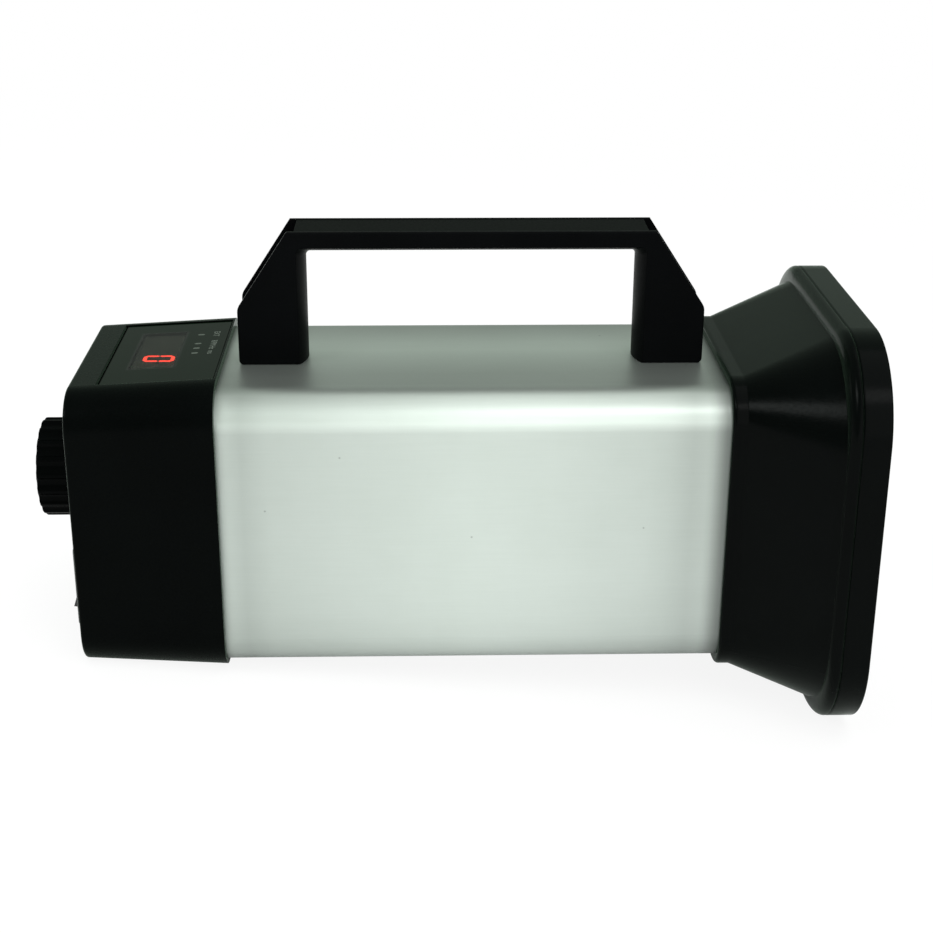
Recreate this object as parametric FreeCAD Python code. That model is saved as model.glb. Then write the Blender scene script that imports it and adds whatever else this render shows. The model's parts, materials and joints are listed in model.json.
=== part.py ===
import FreeCAD, Part
import itertools
import math
import os

# Hand-held xenon stroboscope, in millimetres.
# +X points out of the lamp, +Z up, and the controls are on the -X end.
# The origin is the mouth of the tripod bush, in the underside, at the middle of the body tube.

# Fits and small allowances shared by several pieces
overrun = 1.0
seat_gap = 0.1
running_gap = 0.05
bore_gap = 0.2
edge_break = 0.5

# Body tube: drawn aluminium, with a screw channel in each corner and a pair of board grooves
tube_length = 126.2
tube_width = 66.4
tube_height = 73.8
tube_corner = 8.9
tube_wall = 2.2
channel_inset = 5.6
channel_radius = 3.3
groove_height = 18.8
groove_rib = 1.2
groove_depth = 2.0

# Fasteners: shank and head sizes of the machine screws, and shares of the head that its shape takes
screw_radius = 1.5
screw_head_radius = 2.7
screw_head_height = 2.0
screw_head_sink = 0.5
screw_end = 1.5
small_screw_radius = 1.0
small_head_radius = 1.9
small_head_height = 1.4
small_screw_bite = 4.6
head_round_share = 0.33
recess_arm_share = 0.55
recess_slot_share = 0.13
recess_depth_share = 0.5

# Rear cap: a drafted cup that butts on the tube, with tongues inside it
cap_depth = 36.4
cap_lip_side = 2.0
cap_lip_top = 1.7
cap_draft_side = 1.05
cap_draft_top = 1.9
cap_rear_corner = 9.8
cap_seam_corner = 10.6
cap_rise = 0.5
cap_wall = 2.4
cap_rear_wall = 3.0
cap_edge = 0.8
seat_ring = 3.0
tongue_length = 4.0
tongue_wall = 1.6
tongue_gap = 0.15
tongue_side_inset = 23.5
tongue_top_inset = 12.0
cap_screw_grip = 9.0

# Display, let into the top of the rear cap
panel_rear_setback = 7.3
panel_seam_setback = 0.8
panel_width = 48.0
panel_thickness = 0.8
panel_sink = 0.3
panel_gap = 0.35
window_length = 20.4
window_width = 35.0
window_seam_setback = 4.6
digit_count = 5
digit_pitch = 5.6
digit_height = 8.0
digit_width = 4.9
digit_stroke = 0.95
digit_across_share = 1.1
digit_upright_share = 0.1
digit_seam_setback = 16.9
digit_side_offset = 2.8
lit_digit = 3
segment_thickness = 0.3
module_length = 11.6
module_height = 6.6
module_panel_gap = 0.1
indicator_seam_setback = 7.8
indicator_length = 2.4
indicator_width = 1.0
indicator_places = (13.2, 5.6, 1.75, -2.25)
board_thickness = 1.6
display_board_length = 21.0
display_board_width = 45.0
board_boss_radius = 2.0
board_boss_inset = 2.4

# Controls on the rear face
knob_rise = 6.5
knob_radius = 12.9
knob_length = 12.0
knob_face_gap = 0.5
knob_flutes = 18
knob_flute_radius = 2.4
knob_flute_depth = 1.0
knob_edge = 0.7
knob_hollow_radius = 8.6
knob_hollow_depth = 3.4
knob_cap_radius = 9.6
knob_cap_thickness = 0.9
shaft_radius = 3.0
shaft_end_gap = 1.4
encoder_width = 12.6
encoder_height = 13.2
encoder_depth = 6.5
encoder_bush_radius = 3.5
encoder_nut_flats = 10.0
encoder_nut_thickness = 2.0
encoder_thread_spare = 0.6
encoder_shaft_seat = 2.5
grub_radius = 1.5
grub_length = 6.0
grub_socket_radius = 0.75
grub_socket_depth = 1.6
control_board_width = 44.8
control_board_drop = 11.0
control_board_rise = 4.8
control_boss_drop = 7.0
control_boss_spread = 38.0
button_drop = 8.2
button_pitch = 14.0
button_width = 10.0
button_tall = 6.0
button_corner = 1.6
button_gap = 0.3
button_proud = 2.0
button_flange = 1.0
button_flange_thickness = 1.0
button_travel = 1.0
switch_size = 6.0
switch_depth = 3.5
plunger_radius = 1.75
plunger_proud = 1.1
plunger_seat = 1.8

# Power switch
switch_centre_y = -20.0
switch_centre_z = 21.0
switch_body_width = 12.7
switch_body_height = 19.0
switch_body_depth = 12.0
switch_rim_width = 15.0
switch_rim_height = 21.4
switch_rim_thickness = 1.6
switch_cut_gap = 0.1
rocker_width = 9.2
rocker_length = 14.4
rocker_opening_gap = 0.15
rocker_end_gap = 0.8
rocker_well_depth = 9.0
rocker_pivot_depth = 3.0
rocker_crest = 3.4
rocker_dip = 2.2
rocker_keel = 1.6
rocker_tilt = 8.0
rocker_pin_radius = 1.2
rocker_pin_length = 1.1
terminal_width = 4.8
terminal_thickness = 0.8
terminal_length = 7.0

# Sockets on the rear face
jack_height = 16.0
trigger_in_y = -3.5
trigger_out_y = 8.5
charge_socket_y = 20.5
jack_bush_radius = 3.0
jack_bore_radius = 1.8
jack_bore_depth = 14.0
jack_body_radius = 4.4
jack_body_length = 12.0
socket_bush_radius = 4.0
socket_bore_radius = 2.85
socket_bore_depth = 9.0
socket_pin_radius = 1.0
socket_pin_setback = 1.0
socket_body_radius = 5.2
socket_body_length = 9.0
bush_proud = 2.6
ring_nut_wall = 1.7
ring_nut_thickness = 1.8

# Handle: a bridge with D-shaped legs and a channel down each slope to its screw
handle_end_setback = 4.1
handle_width = 15.5
handle_height = 34.35
handle_shoulder = 14.7
handle_slope_run = 12.95
handle_leg_depth = 15.2
handle_leg_bulge = 2.1
handle_bar_depth = 4.0
handle_bar_bulge = 1.9
handle_inner_corner = 1.8
handle_shoulder_radius = 3.0
handle_foot_radius = 1.2
handle_side_wall = 1.5
handle_channel_depth = 2.4
handle_recess_depth = 1.5
handle_edge = 0.5
cover_end_setback = 1.8
cover_thickness = 1.4
cover_gap = 0.1
handle_hole_inset = 9.0
handle_screw_radius = 2.0
handle_head_radius = 3.5
handle_head_height = 4.0
handle_socket_flats = 3.0
handle_socket_depth = 2.0
handle_well_radius = 4.3
handle_well_floor = 9.0
washer_radius = 4.5
washer_thickness = 0.8
nut_flats = 7.0
nut_thickness = 3.2
handle_screw_spare = 1.2

# Lamp hood: a flange on the tube, a flare and a deep rounded front
hood_rise = 0.1
flange_rise = -0.2
flange_lip_side = 1.7
flange_lip_top = 2.4
flange_length = 3.6
flange_edge = 1.0
flare_length = 21.2
flare_end_corner = 26.4
bezel_width = 100.7
bezel_height = 104.0
bezel_corner = 23.4
bezel_shoulder = 2.6
bezel_step_side = 1.2
bezel_step_top = 3.4
bezel_back_length = 3.1
shoulder_steps = 3
hood_wall = 3.0
hood_bulkhead = 3.0
hood_lamp_hole = 22.6
hood_screw_grip = 9.0
mouth_lap = 4.0
mouth_land = 4.0

# Front frame, lens and gasket
frame_depth = 7.0
frame_edge = 0.4
frame_joint_edge = 0.35
frame_lip_lap = 4.0
frame_opening_flare = 2.0
lens_margin = 6.2
lens_corner_growth = 8.6
lens_thickness = 2.5
lens_gap = 0.2
gasket_thickness = 1.0
gasket_width = 4.0
frame_screw_offset = 11.4
frame_screw_grip = 3.2

# Reflector and flash lamp, on the hood's axis
dish_depth = 36.2
dish_mouth_setback = 3.1
dish_hole_radius = 9.0
dish_thickness = 0.8
dish_plate_thickness = 0.8
dish_steps = 8
base_gap = 0.1
base_thickness = 5.0
base_pocket_depth = 2.0
tube_glass_radius = 2.5
tube_bore_radius = 1.7
tube_leg_spread = 12.0
tube_leg_height = 12.0
electrode_radius = 1.0
electrode_reach = 7.0
trigger_turns = 5
trigger_pitch = 1.9
trigger_start = 1.6
trigger_bend = 0.8
trigger_wire_radius = 0.25
trigger_lead_depth = 4.0
gap_samples = 6
bracket_setback = 2.3
bracket_thickness = 1.5
bracket_half_span = 22.0
bracket_foot = 5.2
bracket_arm_width = 16.0
bracket_screw_offset = 26.0
bracket_pin_gap = 0.6
socket_width = 16.0
socket_height = 30.0
socket_depth = 10.5
socket_pin_depth = 8.0
socket_screw_offset = 12.0
socket_screw_grip = 6.0
socket_screw_room = 0.5

# Tripod bush: a quarter inch thread in a flanged bush, pressed in from inside the tube
bush_radius = 6.0
bush_flange_radius = 7.8
bush_flange_thickness = 2.0
bush_height = 9.0
bush_thread_radius = 2.55
bush_thread_depth = 8.0

# Electronics and cells inside the tube
board_end_setback = 4.6
board_side_gap = 0.3
capacitor_radius = 10.0
capacitor_length = 30.0
capacitor_spread = 24.0
capacitor_setback = 14.1
core_length = 24.0
core_depth = 12.0
core_height = 20.0
core_window_height = 12.0
core_window_width = 4.0
core_leg_width = 8.0
core_lead_gap = 5.0
core_centre_y = -13.0
winding_gap = 0.3
coil_radius = 6.0
coil_length = 16.0
coil_y = 16.0
cell_radius = 7.1
cell_end_gap = 4.5
cell_pitch = 14.3
cell_terminal_radius = 2.7
cell_terminal_length = 1.0
cells_in_pack = 3
cell_start = 8.2
pad_thickness = 1.0
pad_inset = 3.0
lead_radius = 0.9
lead_bend = 6.0
lead_spread = 5.5
lead_run = 2.0
ribbon_width = 12.0
ribbon_thickness = 1.0
ribbon_bend = 5.0
ribbon_drop = 6.4
ribbon_setback = 10.1

# Places worked out from the sizes above
along_x = FreeCAD.Vector(1, 0, 0)
along_y = FreeCAD.Vector(0, 1, 0)
along_z = FreeCAD.Vector(0, 0, 1)
quarter_turn = math.pi / 2
full_circle = 360.0

rear_seam = -tube_length / 2
front_seam = tube_length / 2
tube_mid_height = tube_height / 2
cap_seam_width = tube_width + 2 * cap_lip_side
cap_seam_height = tube_height + 2 * cap_lip_top
cap_rear_width = cap_seam_width - 2 * cap_draft_side
cap_rear_height = cap_seam_height - 2 * cap_draft_top
knob_height = tube_mid_height + knob_rise
button_height = tube_height - button_drop
control_board_bottom = knob_height - control_board_drop
control_board_top = button_height + control_board_rise
control_boss_height = knob_height - control_boss_drop
ribbon_height = knob_height - ribbon_drop
ribbon_end_x = rear_seam + ribbon_setback
capacitor_start = rear_seam + capacitor_setback
cell_length = front_seam - cell_start - cell_end_gap
handle_length = tube_length - 2 * handle_end_setback
handle_top_length = handle_length - 2 * handle_slope_run
handle_hole_spacing = handle_length - 2 * handle_hole_inset
cover_length = handle_top_length - 2 * cover_end_setback
inner_half_width = tube_width / 2 - tube_wall
inner_floor = tube_wall
inner_top = tube_height - tube_wall
channel_y = tube_width / 2 - channel_inset
channel_low = channel_inset
channel_high = tube_height - channel_inset
channel_places = [(y, z) for y in (-channel_y, channel_y) for z in (channel_low, channel_high)]
board_top = groove_height + board_thickness

cap_rear = rear_seam - cap_depth
cap_inner = cap_rear + cap_rear_wall
cap_mid_height = tube_mid_height + cap_rise
control_board_x = cap_inner + encoder_depth

hood_mid_height = tube_mid_height + hood_rise
flange_mid_height = tube_mid_height + flange_rise
flange_width = tube_width + 2 * flange_lip_side
flange_height = tube_height + 2 * flange_lip_top
flare_end_width = bezel_width - 2 * bezel_step_side
flare_end_height = bezel_height - 2 * bezel_step_top
lens_width = bezel_width - 2 * lens_margin
lens_height = bezel_height - 2 * lens_margin
lens_corner = bezel_corner + lens_corner_growth
dish_mouth_radius = min(lens_width, lens_height) / 2 - mouth_lap - dish_mouth_setback
flare_start = front_seam + flange_length
flare_end = flare_start + flare_length
hood_front = flare_end + bezel_back_length
frame_front = hood_front + frame_depth
flange_corner = tube_corner + (flange_width - tube_width) / 2
bulkhead_front = front_seam + hood_bulkhead
land_back = hood_front - mouth_land
dish_front = hood_front + dish_plate_thickness
dish_apex = dish_front - dish_depth
dish_focus = dish_mouth_radius ** 2 / (4 * dish_depth)
gasket_front = dish_front + gasket_thickness
lens_front = gasket_front + lens_thickness
bracket_front = dish_apex - bracket_setback
bracket_back = bracket_front - bracket_thickness
base_front = bracket_front + base_thickness
frame_screw_seat = frame_front - screw_head_height - screw_head_sink
frame_screw_y = bezel_width / 2 - bezel_corner + frame_screw_offset
frame_screw_z = bezel_height / 2 - bezel_corner + frame_screw_offset


def point(x, y, z):
    return FreeCAD.Vector(x, y, z)


def block(x_low, x_high, y_low, y_high, z_low, z_high):
    return Part.makeBox(x_high - x_low, y_high - y_low, z_high - z_low, point(x_low, y_low, z_low))


def rod(start, direction, radius, length):
    return Part.makeCylinder(radius, length, start, direction)


def ring(start, direction, outer, inner, length):
    return rod(start, direction, outer, length).cut(rod(start, direction, inner, length))


def joined(first, others):
    solid = first
    for other in others:
        solid = solid.fuse(other)
    return solid.removeSplitter()


def without(first, others):
    solid = first
    for other in others:
        solid = solid.cut(other)
    return solid


def rounded_section(x, mid_y, mid_z, width, height, corner):
    """A closed rounded rectangle in the plane at x."""
    reach_y = width / 2 - corner
    reach_z = height / 2 - corner
    arcs = []
    for index, (side_y, side_z) in enumerate(((1, 1), (-1, 1), (-1, -1), (1, -1))):
        centre = point(x, mid_y + side_y * reach_y, mid_z + side_z * reach_z)
        start = index * quarter_turn
        spots = [centre + spoke(start + share * quarter_turn, corner) for share in (0, 0.5, 1)]
        arcs.append(Part.Arc(*spots).toShape())
    edges = []
    for index, arc in enumerate(arcs):
        following = arcs[(index + 1) % len(arcs)]
        edges.append(arc)
        edges.append(Part.LineSegment(arc.lastVertex().Point, following.firstVertex().Point).toShape())
    return Part.Wire(edges)


def spoke(angle, radius):
    """A vector of that length in the plane across X, turned from +Y towards +Z."""
    return point(0, radius * math.cos(angle), radius * math.sin(angle))


def rounded_prism(x_low, x_high, mid_y, mid_z, width, height, corner):
    face = Part.Face(rounded_section(x_low, mid_y, mid_z, width, height, corner))
    return face.extrude(point(x_high - x_low, 0, 0))


def tapered_prism(x_low, low_size, x_high, high_size):
    """A straight loft between two rounded sections: height of the centre, width, height and corner."""
    low = rounded_section(x_low, 0, *low_size)
    high = rounded_section(x_high, 0, *high_size)
    return Part.makeLoft([low, high], True, True)


def plate(points, direction):
    """A flat outline of straight edges, pushed along direction."""
    return Part.Face(Part.makePolygon(points + points[:1])).extrude(direction)


def hexagon(centre, direction, side_direction, flats, length):
    """A hexagonal prism measured across its flats, standing on centre."""
    radius = flats / 2 / math.cos(math.pi / 6)
    third = direction.cross(side_direction)
    corners = []
    for index in range(6):
        angle = index * math.pi / 3
        reach = side_direction * math.cos(angle) + third * math.sin(angle)
        corners.append(centre + reach * radius)
    return plate(corners, direction * length)


def edges_at_x(solid, x):
    """The solid's edges that lie wholly in the plane at x."""
    tolerance = edge_break / 100
    found = []
    for edge in solid.Edges:
        box = edge.BoundBox
        if abs(box.XMin - x) < tolerance and abs(box.XMax - x) < tolerance:
            found.append(edge)
    return found


def rim_of(solid, centre):
    """The solid's round edges centred on that point."""
    tolerance = edge_break / 100
    circles = [edge for edge in solid.Edges if isinstance(edge.Curve, Part.Circle)]
    return [edge for edge in circles if (edge.Curve.Center - centre).Length < tolerance]


def machine_screw(seat, inward, radius, head_radius, head_height, grip):
    """A pan-head screw whose head stands on seat, with a cross-shaped recess in its head."""
    top = seat - inward * head_height
    head = rod(seat, inward * -1, head_radius, head_height)
    head = head.makeFillet(head_height * head_round_share, rim_of(head, top))
    shank = rod(seat, inward, radius, grip)
    side = along_x if abs(inward.z) > abs(inward.x) else along_z
    arm = head_radius * recess_arm_share
    half = head_radius * recess_slot_share
    slots = []
    for across in (side, inward.cross(side)):
        beside = inward.cross(across)
        corner = top - across * arm - beside * half
        far = corner + across * (2 * arm)
        corners = [corner, far, far + beside * (2 * half), corner + beside * (2 * half)]
        slots.append(plate(corners, inward * (head_height * recess_depth_share)))
    return without(head.fuse(shank), slots)


def pan_screw(seat, inward, grip):
    return machine_screw(seat, inward, screw_radius, screw_head_radius, screw_head_height, grip)


def small_screw(seat, inward, grip):
    return machine_screw(seat, inward, small_screw_radius, small_head_radius, small_head_height, grip)


def corner_tongues(seam, outward):
    """Four tongues that enter the tube from its end, clear of the channels and board grooves."""
    x_low, x_high = sorted((seam, seam - outward * tongue_length))
    side_outer = inner_half_width - tongue_gap
    side_inner = side_outer - tongue_wall
    top_outer = inner_top - tongue_gap
    top_inner = top_outer - tongue_wall
    floor_outer = inner_floor + tongue_gap
    floor_inner = floor_outer + tongue_wall
    half_top = tube_width / 2 - tongue_top_inset
    side_low = tongue_side_inset + groove_rib
    side_high = tube_height - tongue_top_inset
    return [
        block(x_low, x_high, -half_top, half_top, top_inner, top_outer),
        block(x_low, x_high, -half_top, half_top, floor_outer, floor_inner),
        block(x_low, x_high, side_inner, side_outer, side_low, side_high),
        block(x_low, x_high, -side_outer, -side_inner, side_low, side_high),
    ]


def body_tube():
    outer = rounded_prism(rear_seam, front_seam, 0, tube_mid_height, tube_width, tube_height, tube_corner)
    inner_corner = tube_corner - tube_wall
    inner_width = tube_width - 2 * tube_wall
    inner_height = tube_height - 2 * tube_wall
    inner = rounded_prism(rear_seam, front_seam, 0, tube_mid_height, inner_width, inner_height, inner_corner)
    shell = outer.cut(inner)
    extras = [rod(point(rear_seam, y, z), along_x, channel_radius, tube_length) for y, z in channel_places]
    rib_tip = inner_half_width - groove_depth
    rib_root = inner_half_width + tube_wall / 2
    upper_rib = groove_height + board_thickness + seat_gap
    for rib_low in (groove_height - groove_rib, upper_rib):
        rib_high = rib_low + groove_rib
        extras.append(block(rear_seam, front_seam, rib_tip, rib_root, rib_low, rib_high))
        extras.append(block(rear_seam, front_seam, -rib_root, -rib_tip, rib_low, rib_high))
    shell = joined(shell, extras)
    bore = screw_radius + running_gap
    holes = [rod(point(rear_seam, y, z), along_x, bore, tube_length) for y, z in channel_places]
    for x in (-handle_hole_spacing / 2, handle_hole_spacing / 2):
        start = point(x, 0, inner_top - overrun)
        holes.append(rod(start, along_z, handle_screw_radius + bore_gap, tube_wall + 2 * overrun))
    holes.append(rod(point(0, 0, -overrun), along_z, bush_radius, tube_wall + 2 * overrun))
    return without(shell, holes)


def drawn_in(section, inset):
    """A section of the same centre height, smaller by inset on every side."""
    mid_z, width, height, corner = section
    return (mid_z, width - 2 * inset, height - 2 * inset, corner - inset)


def cap_solid(x_low, inset):
    """The cap's outer form, or its hollow when drawn in by the wall."""
    rear = drawn_in((cap_mid_height, cap_rear_width, cap_rear_height, cap_rear_corner), inset)
    seam = drawn_in((cap_mid_height, cap_seam_width, cap_seam_height, cap_seam_corner), inset)
    return tapered_prism(x_low, rear, rear_seam, seam)


def cap_blank():
    return cap_solid(cap_rear, 0)


def under_cap_top(depth_low, depth_high, x_low, x_high, half_width):
    """The layer that lies between two depths under the cap's sloping top, over a rectangle."""
    upper = cap_blank().translated(point(0, 0, -depth_low))
    lower = cap_blank().translated(point(0, 0, -depth_high))
    column = block(x_low, x_high, -half_width, half_width, cap_mid_height, cap_mid_height + cap_seam_height)
    return upper.cut(lower).common(column)


def cap_top_at(x):
    """Height of the cap's top surface at x."""
    share = (x - cap_rear) / cap_depth
    return cap_mid_height + (cap_rear_height + share * (cap_seam_height - cap_rear_height)) / 2


def panel_span():
    return cap_rear + panel_rear_setback, rear_seam - panel_seam_setback


def display_board_span():
    x_high = rear_seam - window_seam_setback + board_boss_inset / 2
    return x_high - display_board_length, x_high


def module_top():
    """Height of the digit module's face: just under the panel where that is lowest."""
    x_low = rear_seam - digit_seam_setback - module_length / 2
    return cap_top_at(x_low) - panel_sink - panel_thickness - module_panel_gap


def display_board_top():
    return module_top() - module_height


def display_boss_places():
    x_low, x_high = display_board_span()
    half = display_board_width / 2 - board_boss_inset
    return [(x, y) for x in (x_low + board_boss_inset, x_high - board_boss_inset) for y in (-half, half)]


def button_places():
    return {"double": button_pitch, "source": 0.0, "halve": -button_pitch}


def rear_cap():
    blank = cap_blank()
    rim = edges_at_x(blank, cap_rear)
    shell = blank.makeFillet(cap_edge, rim)
    shell = shell.cut(cap_solid(cap_inner, cap_wall))
    lining_low = rear_seam - seat_ring
    lining_width = cap_seam_width - cap_wall
    lining_height = cap_seam_height - cap_wall
    lining_corner = cap_seam_corner - cap_wall
    seat = rounded_prism(lining_low, rear_seam, 0, cap_mid_height, lining_width, lining_height, lining_corner)
    lining_inset = tube_wall + tongue_gap + tongue_wall
    seat_inner = rounded_prism(
        lining_low,
        rear_seam,
        0,
        tube_mid_height,
        tube_width - 2 * lining_inset,
        tube_height - 2 * lining_inset,
        tube_corner - tube_wall,
    )
    extras = [seat.cut(seat_inner)]
    column_length = rear_seam - cap_inner
    for y, z in channel_places:
        extras.append(rod(point(cap_inner - overrun, y, z), along_x, channel_radius, column_length + overrun))
    extras.extend(corner_tongues(rear_seam, -1))
    board_x = control_board_x
    for y in (-control_boss_spread / 2, control_boss_spread / 2):
        start = point(cap_inner - overrun, y, control_boss_height)
        extras.append(rod(start, along_x, board_boss_radius, board_x - cap_inner + overrun))
    for x, y in display_boss_places():
        start = point(x, y, display_board_top())
        boss_height = cap_top_at(x) - panel_thickness - start.z
        extras.append(rod(start, along_z, board_boss_radius, boss_height))
    shell = joined(shell, extras)

    cuts = []
    panel_low, panel_high = panel_span()
    pocket_depth = panel_sink + panel_thickness
    pocket_low = panel_low - panel_gap
    pocket_high = panel_high + panel_gap
    cuts.append(under_cap_top(-overrun, pocket_depth, pocket_low, pocket_high, panel_width / 2 + panel_gap))
    window_high = rear_seam - window_seam_setback
    cuts.append(
        block(
            window_high - window_length,
            window_high,
            -window_width / 2,
            window_width / 2,
            display_board_top(),
            cap_mid_height + cap_seam_height,
        )
    )
    head_depth = overrun + screw_head_height + screw_head_sink
    for y, z in channel_places:
        start = point(cap_rear - overrun, y, z)
        cuts.append(rod(start, along_x, screw_radius + bore_gap, cap_depth + 2 * overrun))
        cuts.append(rod(start, along_x, screw_head_radius + bore_gap, head_depth))
    wall_start = cap_rear - overrun
    wall_cut = cap_rear_wall + 2 * overrun
    cuts.append(rod(point(wall_start, 0, knob_height), along_x, encoder_bush_radius + seat_gap, wall_cut))
    for y in button_places().values():
        cuts.append(
            rounded_prism(
                wall_start,
                cap_inner + overrun,
                y,
                button_height,
                button_width + 2 * button_gap,
                button_tall + 2 * button_gap,
                button_corner + button_gap,
            )
        )
    half_y = switch_body_width / 2 + switch_cut_gap
    half_z = switch_body_height / 2 + switch_cut_gap
    cuts.append(
        block(
            wall_start,
            cap_inner + overrun,
            switch_centre_y - half_y,
            switch_centre_y + half_y,
            switch_centre_z - half_z,
            switch_centre_z + half_z,
        )
    )
    for y, radius in rear_socket_places():
        cuts.append(rod(point(wall_start, y, jack_height), along_x, radius + seat_gap, wall_cut))
    tapped = small_screw_radius + running_gap
    tapped_depth = small_screw_bite + edge_break
    for y in (-control_boss_spread / 2, control_boss_spread / 2):
        start = point(control_board_x - tapped_depth, y, control_boss_height)
        cuts.append(rod(start, along_x, tapped, tapped_depth + overrun))
    for x, y in display_boss_places():
        start = point(x, y, display_board_top() - overrun)
        cuts.append(rod(start, along_z, tapped, overrun + tapped_depth))
    return without(shell, cuts)


def rear_socket_places():
    """The y place and bush radius of each round socket."""
    return [
        (trigger_in_y, jack_bush_radius),
        (trigger_out_y, jack_bush_radius),
        (charge_socket_y, socket_bush_radius),
    ]


def cap_screws():
    seat_x = cap_rear + screw_head_height + screw_head_sink
    grip = rear_seam + cap_screw_grip - seat_x
    return Part.makeCompound([pan_screw(point(seat_x, y, z), along_x, grip) for y, z in channel_places])


def display_panel():
    panel_low, panel_high = panel_span()
    return under_cap_top(panel_sink, panel_sink + panel_thickness, panel_low, panel_high, panel_width / 2)


def bar_outline(mid_x, mid_y, length, width, along_the_x):
    """A segment with pointed ends, as six corners at the module's face."""
    half = length / 2
    nib = half - width / 2
    side = width / 2
    corners = [(-half, 0), (-nib, side), (nib, side), (half, 0), (nib, -side), (-nib, -side)]
    height = module_top() - segment_thickness
    if along_the_x:
        return [point(mid_x + u, mid_y + v, height) for u, v in corners]
    return [point(mid_x + v, mid_y + u, height) for u, v in corners]


def digit_bars(index):
    """The seven segments of one digit, keyed by their usual letters. Digit 0 is on the reader's left."""
    mid_x = rear_seam - digit_seam_setback
    mid_y = digit_side_offset + ((digit_count - 1) / 2 - index) * digit_pitch
    reach_y = (digit_width - digit_stroke) / 2
    reach_x = (digit_height - digit_stroke) / 2
    across = digit_width - digit_stroke * digit_across_share
    upright = reach_x - digit_stroke * digit_upright_share
    bars = {}
    for letter, x in (("a", mid_x + reach_x), ("g", mid_x), ("d", mid_x - reach_x)):
        bars[letter] = bar_outline(x, mid_y, across, digit_stroke, False)
    uprights = (("f", 1, 1), ("b", -1, 1), ("e", 1, -1), ("c", -1, -1))
    for letter, side_y, side_x in uprights:
        x = mid_x + side_x * reach_x / 2
        bars[letter] = bar_outline(x, mid_y + side_y * reach_y, upright, digit_stroke, True)
    up = point(0, 0, segment_thickness)
    return {letter: plate(corners, up) for letter, corners in bars.items()}


def lit_segments():
    bars = digit_bars(lit_digit)
    return Part.makeCompound([bars[letter] for letter in "abcdef"])


def dark_segments():
    solids = [digit_bars(lit_digit)["g"]]
    for index in range(digit_count):
        if index != lit_digit:
            solids.extend(digit_bars(index).values())
    return Part.makeCompound(solids)


def digit_display():
    x_low = rear_seam - digit_seam_setback - module_length / 2
    y_low = digit_side_offset - digit_count * digit_pitch / 2
    y_high = digit_side_offset + digit_count * digit_pitch / 2
    body = block(x_low, x_low + module_length, y_low, y_high, display_board_top(), module_top())
    pockets = []
    for index in range(digit_count):
        pockets.extend(digit_bars(index).values())
    return without(body, pockets)


def indicator_leds():
    mid_x = rear_seam - indicator_seam_setback
    solids = []
    for y in indicator_places:
        half = indicator_width / 2
        x_low = mid_x - indicator_length / 2
        x_high = mid_x + indicator_length / 2
        solids.append(block(x_low, x_high, y - half, y + half, display_board_top(), module_top()))
    return Part.makeCompound(solids)


def display_board():
    x_low, x_high = display_board_span()
    half = display_board_width / 2
    top = display_board_top()
    board = block(x_low, x_high, -half, half, top - board_thickness, top)
    holes = []
    for x, y in display_boss_places():
        start = point(x, y, top - board_thickness - overrun)
        holes.append(rod(start, along_z, small_screw_radius + seat_gap, board_thickness + 2 * overrun))
    return without(board, holes)


def board_screws():
    """The screws that hold the two boards to the cap's bosses."""
    grip = board_thickness + small_screw_bite
    screws = []
    for x, y in display_boss_places():
        screws.append(small_screw(point(x, y, display_board_top() - board_thickness), along_z, grip))
    for y in (-control_boss_spread / 2, control_boss_spread / 2):
        seat = point(control_board_x + board_thickness, y, control_boss_height)
        screws.append(small_screw(seat, along_x * -1, grip))
    return Part.makeCompound(screws)


def control_board():
    half = control_board_width / 2
    x_high = control_board_x + board_thickness
    board = block(control_board_x, x_high, -half, half, control_board_bottom, control_board_top)
    holes = []
    for y in (-control_boss_spread / 2, control_boss_spread / 2):
        start = point(control_board_x - overrun, y, control_boss_height)
        holes.append(rod(start, along_x, small_screw_radius + seat_gap, board_thickness + 2 * overrun))
    return without(board, holes)


def encoder_body():
    half_y = encoder_width / 2
    half_z = encoder_height / 2
    can = block(cap_inner, control_board_x, -half_y, half_y, knob_height - half_z, knob_height + half_z)
    bush_length = cap_rear_wall + encoder_nut_thickness + encoder_thread_spare
    bush = rod(point(cap_inner, 0, knob_height), along_x * -1, encoder_bush_radius, bush_length)
    bore_length = overrun + bush_length + encoder_shaft_seat + seat_gap
    start = point(cap_inner - bush_length - overrun, 0, knob_height)
    bore = rod(start, along_x, shaft_radius + running_gap, bore_length)
    return can.fuse(bush).cut(bore)


def encoder_nut():
    start = point(cap_rear - encoder_nut_thickness, 0, knob_height)
    nut = hexagon(start, along_x, along_z, encoder_nut_flats, encoder_nut_thickness)
    return nut.cut(rod(start, along_x, encoder_bush_radius + running_gap, encoder_nut_thickness))


def knob_span():
    base = cap_rear - knob_face_gap
    return base - knob_length, base


def shaft_span():
    tip, base = knob_span()
    return tip + knob_cap_thickness + shaft_end_gap, cap_inner + encoder_shaft_seat


def encoder_shaft():
    low, high = shaft_span()
    return rod(point(low, 0, knob_height), along_x, shaft_radius, high - low)


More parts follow.
